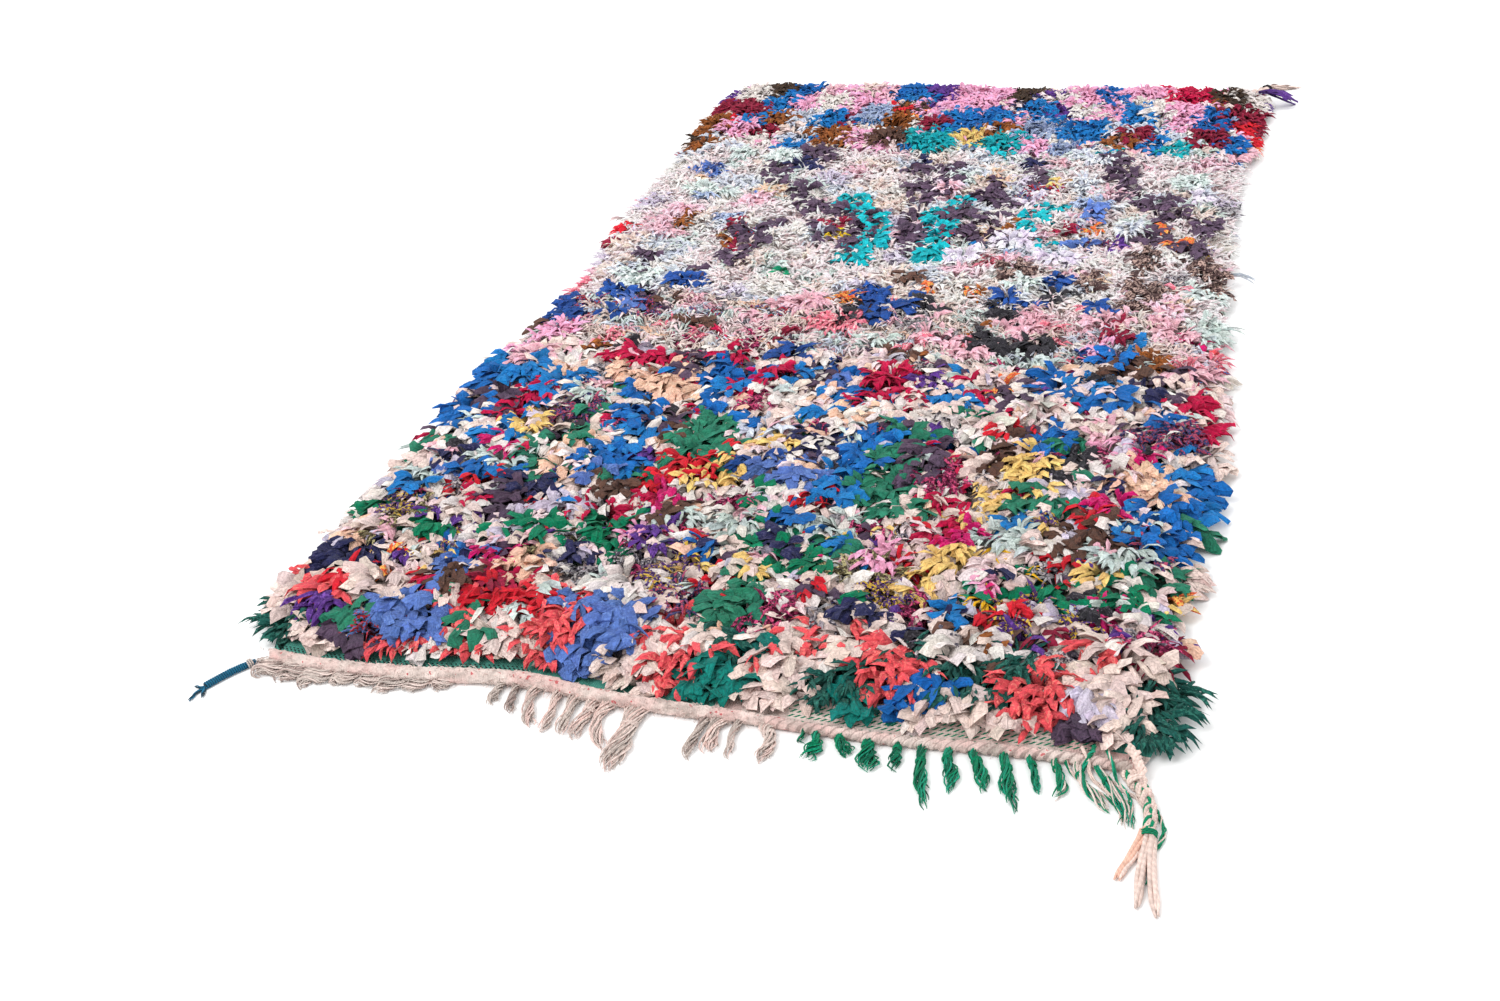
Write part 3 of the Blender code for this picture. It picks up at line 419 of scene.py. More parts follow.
        (-4, -98, 3, 3), (36, 25, 2, 2), (-50, -41, 2, 2), (-40, -13, 2, 3),
    ],
    "red_print": [
        (31, 31, 1.5, 2), (60, -20, 2, 2), (57, -31, 1.5, 1), (-52, -31, 1.5, 1), (-43, -111, 3, 2),
    ],
    "olive": [
        (18, -89, 4, 1.5), (-52, -84, 2, 4), (-36, 22, 1, 1.5), (51, -88, 1.5, 1.5), (-28, -91, 1.5, 1),
    ],
    "grey_print": [
        (28, -63, 2, 2), (-2, -31, 2, 1.5), (-13, -90, 2, 2), (47.5, -102.5, 2.5, 1.8),
        (31, -101.5, 2.5, 3),
    ],
}

# Stretches of the rug between two places along it: its rows and knots, its scraps' size, how much the
# weaver's patches grow, how long its tufts are, how they lean to the near end, the painted shade and light
# of their roots and tips (factors on the dye: under 1 darkens, over 1 lightens), how many rings fewer their
# mesh has, how broad cloths and its own scraps are cut, and the scraps' mix
Zone = namedtuple("Zone", "near far row pitch scrap grow scale lean root tip fewer broad cut mix")
ZONES = [
    Zone(near=-1.20, far=-0.99, row=0.0165, pitch=0.0165, scrap=0.040, grow=1.05, scale=1.10, lean=0.70,
         root=0.42, tip=1.00, fewer=0, broad="leaf", cut=None,
         mix={"cream": 7, "ivory": 2, "coral": 4.2, "periwinkle": 0.8, "wool": 0.9, "green": 0.5,
              "peach": 0.4}),
    Zone(near=-0.99, far=-0.70, row=0.0165, pitch=0.0160, scrap=0.024, grow=1.04, scale=0.94, lean=0.50,
         root=0.40, tip=1.01, fewer=0, broad="leaf", cut=None,
         mix={"cream": 8, "ivory": 5, "mint": 1.8, "lilac": 1.8, "shell": 2.5, "yellow": 0.5, "plum": 1,
              "purple": 0.8, "emerald": 0.6, "red": 0.5, "wine_print": 1.2, "olive": 0.8, "navy": 0.6,
              "blush": 0.8, "grey_print": 1.2, "purple_print": 1.1, "peach": 0.5, "silver": 0.8,
              "magenta": 0.3, "royal": 0.3}),
    Zone(near=-0.70, far=-0.26, row=0.0165, pitch=0.0160, scrap=0.023, grow=0.98, scale=0.98, lean=0.45,
         root=0.45, tip=1.10, fewer=0, broad="leaf", cut=None,
         mix={"cream": 11, "ivory": 9, "shell": 6, "mint": 2, "plum": 0.8, "wine_print": 1.1,
              "crimson": 0.6, "blush": 1.2, "navy_print": 1.0, "peach": 0.9, "green": 0.2, "lilac": 1,
              "silver": 0.7, "coal": 0.4, "azure": 0.7, "purple": 0.4}),
    Zone(near=-0.26, far=-0.06, row=0.0140, pitch=0.0135, scrap=0.030, grow=0.84, scale=0.85, lean=0.35,
         root=0.86, tip=1.30, fewer=1, broad="leaf", cut="shred",
         mix={"cream": 4, "ivory": 3, "shell": 3, "blush": 1.8, "mint": 2, "ice": 1.4, "rose": 0.7,
              "plum": 0.3, "wine_print": 0.4, "silver": 0.8, "red_print": 0.3, "peach": 0.4}),
    Zone(near=-0.06, far=0.70, row=0.0130, pitch=0.0115, scrap=0.050, grow=0.67, scale=0.75, lean=0.25,
         root=1.25, tip=1.66, fewer=1, broad="leaf", cut="thread",
         mix={"cream": 3, "shell": 11, "ivory": 4.5, "mint": 1.6, "ice": 2.4, "lilac": 1.2, "blush": 2.0,
              "rose": 0.4, "peach": 0.5, "silver": 0.4, "red_print": 0.3, "orange": 0.15,
              "periwinkle": 0.2}),
    Zone(near=0.70, far=1.20, row=0.0138, pitch=0.0133, scrap=0.034, grow=1.10, scale=0.80, lean=0.20,
         root=0.68, tip=1.28, fewer=1, broad="feather", cut=None,
         mix={"cream": 3.4, "ivory": 2.8, "shell": 2.4, "pink": 2, "mist": 1.0, "ice": 1, "azure": 0.9,
              "claret": 0.5, "rust": 0.6, "mint": 0.4}),
]
ZONE_BORDERS = [zone.far for zone in ZONES[:-1]]

# How a rag is cut and stands: width, length, first and last slope in degrees, strips a knot and how they
# spread, its fold and pleats, the corners and rings of its mesh, and whether it ends in a point
Cut = namedtuple("Cut", "width length rise droop strips spread fold pleats corners rings pointed")
CUTS = {
    "leaf": Cut(0.0165, 0.043, 66, -40, 3, 0.7, 0.20, 3.5, 3, 5, False),
    "feather": Cut(0.0106, 0.045, 68, -42, 4, 0.6, 0.30, 2.0, 3, 4, True),
    "shred": Cut(0.0052, 0.041, 66, -40, 5, 0.8, 0.45, 1.5, 3, 3, True),
    "thread": Cut(0.0086, 0.044, 50, -20, 3, 1.0, 0.30, 3.0, 3, 3, True),
    "yarn": Cut(0.0066, 0.040, 56, -26, 7, 0.42, 0.50, 3.0, 3, 4, True),
}

# Locks that reach out past the pile: where they start, which way they point in degrees, how long and wide
# their strips are and how many, and their cloth
Lock = namedtuple("Lock", "x y z heading length width strips cloth")
LONG_LOCKS = [
    Lock(0.612, 1.104, 0.028, -9, 0.078, 0.017, 6, "purple"),
    Lock(0.606, 0.140, 0.024, -8, 0.052, 0.0030, 6, "ice"),
    Lock(0.608, -0.070, 0.022, 0, 0.040, 0.0034, 5, "mint"),
    Lock(0.618, -1.050, 0.022, -12, 0.046, 0.0048, 9, "wool"),
    Lock(0.620, -1.085, 0.020, -20, 0.046, 0.0048, 9, "wool"),
    Lock(0.614, -1.120, 0.020, -38, 0.046, 0.0048, 9, "wool"),
    Lock(0.596, -1.140, 0.018, -62, 0.034, 0.0060, 9, "wool"),
    Lock(0.570, -1.142, 0.016, -80, 0.030, 0.0070, 7, "teal"),
    Lock(-0.606, 0.300, 0.022, 184, 0.036, 0.0036, 5, "shell"),
    Lock(-0.612, -0.640, 0.022, 190, 0.040, 0.0050, 6, "mint"),
    Lock(-0.612, -1.080, 0.020, 176, 0.040, 0.0044, 8, "wool"),
    Lock(-0.612, -1.110, 0.018, 192, 0.044, 0.0044, 9, "wool"),
]

# How thick the hem's roll is along the rug's width, as a share of its full size
Roll = namedtuple("Roll", "x share")
HEM_ROLL = [Roll(-0.60, 0.92), Roll(-0.20, 0.98), Roll(0.05, 0.82), Roll(0.18, 0.66), Roll(0.60, 0.66)]

# Warp ends under the hem, left to right: root x, width, and the way they lie on the floor
Tassel = namedtuple("Tassel", "root width path")
CREAM_TASSELS = [
    Tassel(-0.558, 0.034, [(-0.566, -1.209), (-0.562, -1.221)]),
    Tassel(-0.521, 0.032, [(-0.530, -1.210), (-0.536, -1.225)]),
    Tassel(-0.484, 0.034, [(-0.493, -1.212), (-0.497, -1.233)]),
    Tassel(-0.447, 0.032, [(-0.456, -1.206), (-0.463, -1.213)]),
    Tassel(-0.411, 0.028, [(-0.419, -1.206), (-0.426, -1.213)]),
    Tassel(-0.378, 0.032, [(-0.387, -1.208), (-0.396, -1.222)]),
    Tassel(-0.342, 0.028, [(-0.349, -1.202), (-0.355, -1.211)]),
    Tassel(-0.308, 0.024, [(-0.313, -1.193), (-0.317, -1.202)]),
    Tassel(-0.228, 0.012, [(-0.229, -1.198), (-0.226, -1.217)]),
    Tassel(-0.206, 0.011, [(-0.202, -1.206), (-0.193, -1.230)]),
    Tassel(-0.180, 0.015, [(-0.176, -1.210), (-0.163, -1.236), (-0.155, -1.255)]),
    Tassel(-0.146, 0.012, [(-0.142, -1.210), (-0.140, -1.235), (-0.141, -1.258)]),
    Tassel(-0.122, 0.014, [(-0.119, -1.212), (-0.118, -1.238), (-0.110, -1.260)]),
    Tassel(-0.094, 0.018, [(-0.094, -1.213), (-0.098, -1.236), (-0.094, -1.262)]),
    Tassel(-0.074, 0.016, [(-0.078, -1.215), (-0.070, -1.243), (-0.052, -1.272)]),
    Tassel(-0.034, 0.030, [(-0.033, -1.220), (-0.033, -1.250), (-0.033, -1.310)]),
    Tassel(0.057, 0.012, [(0.055, -1.216), (0.053, -1.245), (0.057, -1.273)]),
    Tassel(0.075, 0.020, [(0.073, -1.212), (0.075, -1.232), (0.081, -1.256)]),
    Tassel(0.100, 0.010, [(0.099, -1.215), (0.102, -1.238), (0.108, -1.261)]),
    Tassel(0.136, 0.018, [(0.146, -1.213), (0.149, -1.235), (0.142, -1.261)]),
]
GREEN_TASSELS = [
    Tassel(0.184, 0.006, [(0.182, -1.206), (0.186, -1.216)]),
    Tassel(0.200, 0.021, [(0.205, -1.216), (0.197, -1.246)]),
    Tassel(0.230, 0.018, [(0.238, -1.213), (0.248, -1.226)]),
    Tassel(0.266, 0.026, [(0.269, -1.220), (0.277, -1.250)]),
    Tassel(0.302, 0.014, [(0.304, -1.221), (0.308, -1.243)]),
    Tassel(0.331, 0.018, [(0.333, -1.215), (0.338, -1.243), (0.347, -1.275), (0.356, -1.300)]),
    Tassel(0.363, 0.019, [(0.364, -1.213), (0.374, -1.238), (0.378, -1.270)]),
    Tassel(0.392, 0.020, [(0.400, -1.213), (0.410, -1.235), (0.418, -1.264)]),
    Tassel(0.428, 0.020, [(0.436, -1.220), (0.443, -1.252), (0.458, -1.286)]),
    Tassel(0.458, 0.011, [(0.467, -1.214), (0.473, -1.243), (0.482, -1.254)]),
    Tassel(0.487, 0.013, [(0.495, -1.214), (0.501, -1.236), (0.494, -1.258)]),
    Tassel(0.513, 0.014, [(0.521, -1.217), (0.541, -1.246), (0.560, -1.268)]),
    Tassel(0.537, 0.014, [(0.552, -1.220), (0.571, -1.253), (0.583, -1.290)]),
]

# Plaited tails: where each stretch lies, its width and height, and where its loose ends go
Stretch = namedtuple("Stretch", "x y width height")
RIGHT_TAIL = [
    Stretch(0.572, -1.1955, 0.022, 0.010),
    Stretch(0.582, -1.212, 0.019, 0.014),
    Stretch(0.595, -1.235, 0.016, 0.015),
    Stretch(0.603, -1.262, 0.015, 0.013),
    Stretch(0.604, -1.287, 0.013, 0.011),
    Stretch(0.604, -1.300, 0.015, 0.010),
]
RIGHT_ENDS = [
    [(0.613, -1.345), (0.625, -1.417)],
    [(0.603, -1.345), (0.603, -1.415)],
    [(0.592, -1.325), (0.578, -1.370)],
]
# Loose yarns round the right tail: their radius, their dyes and the way they lie
Stray = namedtuple("Stray", "yarn dyes route")
RIGHT_STRAYS = [
    Stray(0.0011, ["wool_green", "rag_cream"],
          [(0.600, -1.240), (0.614, -1.262), (0.620, -1.290), (0.614, -1.312), (0.606, -1.300)]),
    Stray(0.0011, ["wool_green", "rag_cream", "wool_sea"],
          [(0.545, -1.172), (0.552, -1.190), (0.560, -1.208), (0.578, -1.240), (0.588, -1.292)]),
    Stray(0.0011, ["rag_cream", "wool_cream"],
          [(0.548, -1.203), (0.566, -1.222), (0.590, -1.240), (0.600, -1.262)]),
    Stray(0.0011, ["wool_green", "wool_deep"], [(0.604, -1.300), (0.612, -1.335), (0.609, -1.372)]),
    Stray(0.0011, ["wool_green", "rag_cream"],
          [(0.500, -1.196), (0.524, -1.222), (0.552, -1.240), (0.570, -1.262), (0.572, -1.286)]),
    Stray(0.0011, ["wool_sea", "rag_cream", "wool_deep"],
          [(0.516, -1.172), (0.524, -1.190), (0.534, -1.212), (0.560, -1.238), (0.584, -1.246)]),
    Stray(0.0013, ["wool_sea", "wool_green"],
          [(0.530, -1.168), (0.527, -1.186), (0.521, -1.202), (0.526, -1.222)]),
    Stray(0.0030, ["rag_cream"], [(0.570, -1.166), (0.582, -1.188), (0.588, -1.210), (0.595, -1.238)]),
]
LEFT_TAIL = [
    Stretch(-0.585, -1.190, 0.009, 0.008),
    Stretch(-0.596, -1.204, 0.011, 0.010),
    Stretch(-0.607, -1.219, 0.011, 0.010),
    Stretch(-0.617, -1.236, 0.011, 0.009),
    Stretch(-0.626, -1.252, 0.012, 0.007),
]
LEFT_ENDS = [
    [(-0.622, -1.264), (-0.614, -1.277)],
    [(-0.632, -1.266), (-0.630, -1.287)],
    [(-0.637, -1.253), (-0.645, -1.250)],
]
FAR_TAIL = [
    Stretch(0.558, 1.1164, 0.018, 0.006),
    Stretch(0.575, 1.154, 0.018, 0.007),
    Stretch(0.604, 1.176, 0.020, 0.012),
    Stretch(0.625, 1.200, 0.020, 0.013),
]
FAR_ENDS = [
    [(0.630, 1.222), (0.640, 1.240)],
    [(0.645, 1.216), (0.672, 1.234)],
    [(0.655, 1.206), (0.700, 1.222)],
]

# Dyes of the yarns, as sRGB
YARNS = {
    "wool_cream": (226, 206, 198),
    "wool_grey": (200, 186, 178),
    "wool_pink": (228, 200, 192),
    "wool_green": (10, 130, 92),
    "wool_sea": (26, 148, 116),
    "wool_deep": (8, 100, 74),
    "rag_cream": (232, 208, 198),
    "rag_peach": (230, 184, 164),
    "wound_blue": (30, 112, 148),
    "wound_dark": (20, 60, 78),
    "ash": (168, 148, 142),
    "black": (38, 34, 40),
}

# Dyes of the woven ground and of the knots' backs under it, and the painted shade of the rope's grooves, as
# sRGB
GROUND_DYES = {
    "cream": (226, 208, 200),
    "pink": (222, 184, 178),
    "ash": (186, 170, 162),
    "teal": (66, 140, 126),
    "sea": (104, 170, 152),
    "painted_groove_shade": (150, 128, 122),
    "ink": (28, 34, 36),
    "red": (196, 70, 76),
    "moss": (20, 122, 90),
    "blue_rag": (60, 84, 140),
    "red_rag": (186, 92, 100),
}


def linear(colour):
    """An sRGB colour from 0 to 255 as linear light."""
    share = np.asarray(colour, float) / 255
    return np.where(share <= 0.04045, share / 12.92, ((share + 0.055) / 1.055) ** 2.4)


class Wire:
    """One output of a shader node. Sums, products and tests of wires add the Math nodes for them."""

    def __init__(self, finish, socket):
        self.finish = finish
        self.socket = socket

    def maths(self, operation, *values):
        return self.finish.maths_of(operation, *values)

    def __add__(self, other):
        return self.maths("ADD", self, other)

    def __radd__(self, other):
        return self.maths("ADD", other, self)

    def __sub__(self, other):
        return self.maths("SUBTRACT", self, other)

    def __rsub__(self, other):
        return self.maths("SUBTRACT", other, self)

    def __mul__(self, other):
        return self.maths("MULTIPLY", self, other)

    def __rmul__(self, other):
        return self.maths("MULTIPLY", other, self)

    def __truediv__(self, other):
        return self.maths("DIVIDE", self, other)

    def __gt__(self, other):
        return self.maths("GREATER_THAN", self, other)

    def __lt__(self, other):
        return self.maths("LESS_THAN", self, other)

    def __abs__(self):
        return self.maths("ABSOLUTE", self)

    def fraction(self):
        return self.maths("FRACT", self)

    def sine(self):
        return self.maths("SINE", self)


class Finish:
    """A material under construction: its nodes, its links and its closing shader."""

    def __init__(self, name, roughness, sheen):
        self.material = bpy.data.materials.new(name)
        self.material.use_nodes = True
        self.tree = self.material.node_tree
        self.shader = self.tree.nodes["Principled BSDF"]
        self.shader.inputs["Roughness"].default_value = roughness
        self.shader.inputs["Sheen Weight"].default_value = sheen
        self.shader.inputs["Sheen Roughness"].default_value = 0.5
        self.shader.inputs["Specular IOR Level"].default_value = 0.1

    def add(self, kind, settings, inputs, output=0):
        """Adds one node with its settings and inputs, and gives back one of its outputs."""
        node = self.tree.nodes.new(kind)
        for name, value in settings.items():
            setattr(node, name, value)
        for name, value in inputs.items():
            self.join(value, node.inputs[name])
        return Wire(self, node.outputs[output])

    def join(self, value, socket):
        """Links a wire to a socket, or sets a plain value on it."""
        if isinstance(value, Wire):
            self.tree.links.new(value.socket, socket)
        elif socket.type == "RGBA":
            socket.default_value = (*value[:3], 1)
        else:
            socket.default_value = value

    def maths_of(self, operation, *values):
        return self.add("ShaderNodeMath", {"operation": operation}, dict(enumerate(values)))

    def place(self):
        return self.add("ShaderNodeTexCoord", {}, {}, "Object")

    def attribute(self, name, output="Color"):
        return self.add("ShaderNodeAttribute", {"attribute_name": name}, {}, output)

    def speckle(self, where, scale, detail, distortion=0.0):
        values = {"Vector": where, "Scale": scale, "Detail": detail, "Distortion": distortion}
        return self.add("ShaderNodeTexNoise", {}, values, "Fac")

    def blend(self, share, first, second, kind="MIX"):
        values = {0: share, 6: first, 7: second}
        return self.add("ShaderNodeMix", {"data_type": "RGBA", "blend_type": kind}, values, 2)

    def bump(self, height, depth, strength):
        values = {"Height": height, "Distance": depth, "Strength": strength}
        normal = self.add("ShaderNodeBump", {}, values, "Normal")
        self.join(normal, self.shader.inputs["Normal"])

    def colour(self, wire):
        self.join(wire, self.shader.inputs["Base Color"])


def between(rows, key, value, at):
    """The value of a table's column at a place between its rows."""
    return np.interp(at, [getattr(row, key) for row in rows], [getattr(row, value) for row in rows])


def hem_foot(x):
    """The y of the hem's foot: the table's line with its bends rounded off."""
    steps = (-1, -0.5, 0, 0.5, 1)
    return sum(between(HEM_FOOT, "x", "y", x + step * HEM_ROUND) for step in steps) / len(steps)


def side_edges(y, inset):
    """Left and right edge of a layer that is this far inside the pile's reach, drawn in at the corners."""
    to_end = np.minimum(y - NEAR_END, FAR_END - y)
    drawn_in = CORNER_ROUND * np.maximum(0, 1 - to_end / CORNER_REACH) ** 2
    return between(RIM, "y", "left", y) + inset + drawn_in, between(RIM, "y", "right", y) - inset - drawn_in


def smooth(share):
    """Eases a share in at 0 and out at 1."""
    share = np.clip(share, 0, 1)
    return share * share * (3 - 2 * share)


def rim_distance(x, y):
    """How far a place is inside the pile's walls."""
    left, right = side_edges(y, PILE_RIM_INSET)
    near_wall = hem_foot(x) + PILE_BEHIND_FOOT
    return np.minimum(np.minimum(x - left, right - x), np.minimum(y - near_wall, PILE_FAR_WALL - y))


def pile_height(x, y, sizes):
    """Height of the pile's top over the floor: it slopes to its rim and is lumpy."""
    inside = smooth(rim_distance(x, y) / PILE_SLOPE)
    crown = PILE_RIM_HEIGHT + (sizes.pile_crown - PILE_RIM_HEIGHT) * inside
    places = np.stack([x / LUMP_WIDTH, y / LUMP_LENGTH], axis=-1).reshape(-1, 2)
    nearest = np.array([noise.voronoi(Vector((a, b, 0)))[0][0] for a, b in places]).reshape(np.shape(x))
    lump = sizes.lump_height * (1 - np.minimum(nearest, 1) - LUMP_MIDDLE)
    return crown + lump * (LUMP_MIDDLE + (1 - LUMP_MIDDLE) * inside)


def wander(x, y, scale, reach, level=0.0):
    """A smooth push to one side or the other at each place."""
    return reach * np.array([noise.noise(Vector((a / scale, b / scale, level))) for a, b in zip(x, y)])


def zone_at(x, y):
    """Which zone each place is in, with uneven borders."""
    shifted = y + wander(x, y, 0.09, 0.025, 4.0)
    return np.searchsorted(ZONE_BORDERS, shifted)


def plan_scraps():
    """All patches in one list: the weaver's own, then each zone's scraps on an uneven grid."""
    chance = np.random.default_rng(5)
    own = []
    for cloth, rows in PATCHES.items():
        for x, y, half_width, half_length in rows:
            grow = ZONES[int(np.searchsorted(ZONE_BORDERS, y * CM))].grow * CM
            own.append((x * CM, y * CM, half_width * grow, half_length * grow, CLOTH_NAMES.index(cloth)))
    scraps = []
    for zone in ZONES:
        weights = np.array(list(zone.mix.values()), float)
        cloths = [CLOTH_NAMES.index(name) for name in zone.mix]
        ys = np.arange(zone.near, zone.far, zone.scrap)
        xs = np.arange(-0.68, 0.68, zone.scrap)
        x, y = (grid.ravel() for grid in np.meshgrid(xs, ys))
        x = x + chance.uniform(-0.45, 0.45, x.size) * zone.scrap
        y = y + chance.uniform(-0.45, 0.45, x.size) * zone.scrap
        picked = chance.choice(cloths, x.size, p=weights / weights.sum())
        size = np.full(x.size, zone.scrap)
        scraps.append(np.stack([x, y, size, size, picked], axis=1))
    return np.array(own), scraps


# Columns of what cloth_at finds for each place: its cloth, and 1 where the patch is the weaver's own
CLOTH_COLUMN = 4
OWN_COLUMN = 5


def cloth_at(x, y, own, scraps, chance):
    """Each place's patch (middle, reach, cloth, and 1 where it is the weaver's own) and its zone."""
    zones = zone_at(x, y)
    moved_x = x + wander(x, y, 0.035, 0.012, 1.0)
    moved_y = y + wander(x, y, 0.035, 0.012, 2.0)
    found = np.zeros((x.size, 6))
    for i, rows in enumerate(scraps):
        inside = zones == i
        far = (moved_x[inside, None] - rows[:, 0]) ** 2 + (moved_y[inside, None] - rows[:, 1]) ** 2
        found[inside, :5] = rows[far.argmin(axis=1)]
    across = (moved_x[:, None] - own[:, 0]) / own[:, 2]
    along = (moved_y[:, None] - own[:, 1]) / own[:, 3]
    far = across ** 2 + along ** 2
    nearest = far.argmin(axis=1)
    reach = far[np.arange(x.size), nearest]
    taken = reach < chance.uniform(0.93, 1.12, x.size)
    found[taken, :5] = own[nearest[taken]]
    found[taken, OWN_COLUMN] = 1
    return found, zones


def strip_faces(rings, corners, pointed):
    """Faces of one strip, ring by ring, and where each corner of each face lies on the strip's own cell."""
    faces, cells = [], []
    across = np.linspace(0.06, 0.94, corners + 1)
    along = np.linspace(0.16, 0.94, rings + pointed)
    for i in range(rings - 1):
        for j in range(corners):
            k = (j + 1) % corners
            faces.append((i * corners + j, i * corners + k, (i + 1) * corners + k, (i + 1) * corners + j))
            low, high = along[i], along[i + 1]
            cells.append([(across[j], low), (across[j + 1], low), (across[j + 1], high), (across[j], high)])
    faces.append(tuple(reversed(range(corners))))
    cells.append(round_cell(corners, 0.30))
    last = (rings - 1) * corners
    if pointed:
        for j in range(corners):
            faces.append((last + j, last + (j + 1) % corners, rings * corners))
            tip = ((across[j] + across[j + 1]) / 2, along[-1])
            cells.append([(across[j], along[-2]), (across[j + 1], along[-2]), tip])
    else:
        faces.append(tuple(range(last, last + corners)))
        cells.append(round_cell(corners, 0.70))
    return faces, cells


def round_cell(corners, middle):
    """A small even polygon in the cell's lower margin."""
    turns = [2 * math.pi * k / corners for k in range(corners)]
    return [(middle + 0.05 * math.cos(turn), 0.08 + 0.05 * math.sin(turn)) for turn in turns]


# Strips with the same mesh: their points, rings, corners and ends, and what each strip or point looks like,
# with the shade and light painted on each point
Batch = namedtuple("Batch", "points rings corners pointed dye fleck shade pleat")


def paint(data, label, colours):
    """Gives each point of a mesh a colour, with its alpha where there is a fourth column."""
    rgba = np.ones((len(colours), 4), np.float32)
    rgba[:, : colours.shape[1]] = colours
    data.attributes.new(label, "FLOAT_COLOR", "POINT").data.foreach_set("color", rgba.ravel())


def set_values(data, label, values):
    """Gives each point of a mesh one number."""
    numbers = np.asarray(values, np.float32).ravel()
    data.attributes.new(label, "FLOAT", "POINT").data.foreach_set("value", numbers)


def make_piece(name, batches, finish, nodes, crease=34):
    """Joins batches of strips into one mesh, each strip with its own cell of the map, and hands it over."""
    total = sum(len(batch.points) for batch in batches)
    side = math.ceil(math.sqrt(total))
    points, loops, starts, maps, dyes, flecks, pleats = [], [], [], [], [], [], []
    vertex_base, loop_base, strip_base = 0, 0, 0
    for batch in batches:
        count, verts = batch.points.shape[:2]
        faces, cells = strip_faces(batch.rings, batch.corners, batch.pointed)
        flat = np.array([vertex for face in faces for vertex in face])
        lengths = np.array([len(face) for face in faces])
        first = np.concatenate([[0], np.cumsum(lengths)[:-1]])
        cell = np.array([place for row in cells for place in row])
        number = np.arange(count)
        points.append(batch.points.reshape(-1, 3))
        loops.append((flat + verts * number[:, None] + vertex_base).ravel())
        starts.append((first + flat.size * number[:, None] + loop_base).ravel())
        corner = np.stack([(number + strip_base) % side, (number + strip_base) // side], axis=1)
        maps.append(((cell + corner[:, None]) / side).reshape(-1, 2))
        # The dye attribute holds each point's dye times its shade: painted shade at the roots and painted
        # light at the tips of the pile's strips, a random tone along yarns
        dyes.append((batch.dye[:, None] * batch.shade[..., None]).reshape(-1, 3))
        flecks.append(np.repeat(batch.fleck, verts, axis=0))
        pleats.append(batch.pleat.ravel())
        vertex_base += count * verts
        loop_base += count * flat.size
        strip_base += count
    data = bpy.data.meshes.new(name)
    all_points, all_loops, all_starts = (np.concatenate(rows) for rows in (points, loops, starts))
    data.vertices.add(len(all_points))
    data.vertices.foreach_set("co", all_points.astype(np.float32).ravel())
    data.loops.add(len(all_loops))
    data.loops.foreach_set("vertex_index", all_loops.astype(np.int32))
    data.polygons.add(len(all_starts))
    data.polygons.foreach_set("loop_start", all_starts.astype(np.int32))
    data.uv_layers.new(name="OFBake").data.foreach_set("uv", np.concatenate(maps).astype(np.float32).ravel())
    data.update(calc_edges=True)
    for label, colours in (("dye", dyes), ("fleck", flecks)):
        paint(data, label, np.clip(np.concatenate(colours), 0, 0.95))
    set_values(data, "pleat", np.concatenate(pleats))
    data.shade_smooth()
    data.set_sharp_from_angle(angle=math.radians(crease))
    data.materials.append(finish)
    hand_over(bpy.data.objects.new(name, data), nodes)


def hand_over(piece, nodes):
    """Shows a piece, ties it to the rug's body and hides the solids that it stands for."""
    if piece.name not in bpy.context.scene.collection.objects:
        bpy.context.scene.collection.objects.link(piece)
    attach(piece, "root")
    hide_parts(*nodes)
    return piece


def dye_strips(kinds, count, chance):
    """Each strip's dye and its print's second colour, a little lighter or darker than its neighbours."""
    dyes = bpy.context.scene.rug_dyes
    table = np.array([linear(np.array(getattr(dyes, name)) * 255) for name in CLOTHS])
    flecks = np.array([[*linear(cloth.fleck), cloth.share] for cloth in CLOTHS.values()])
    kinds = np.broadcast_to(kinds, count)
    tone = chance.normal(1, DYE_SPREAD, (count, 1)) + chance.normal(0, DYE_SPREAD / 4, (count, 3))
    dye = np.clip(table[kinds] * np.clip(tone, 0.6, 1.35), 0.002, MOST_LIGHT)
    fleck = flecks[kinds]
    fleck[:, 3] = np.clip(fleck[:, 3] * chance.uniform(0.4, 1.6, count), 0, 0.6)
    return dye, fleck


def loft(centres, sides, ups, outline):
    """Points of strips: each ring's outline set across its centre line."""
    points = centres[:, :, None] + outline[..., :1] * sides[:, :, None] + outline[..., 1:] * ups[:, :, None]
    return points.reshape(len(points), -1, 3)


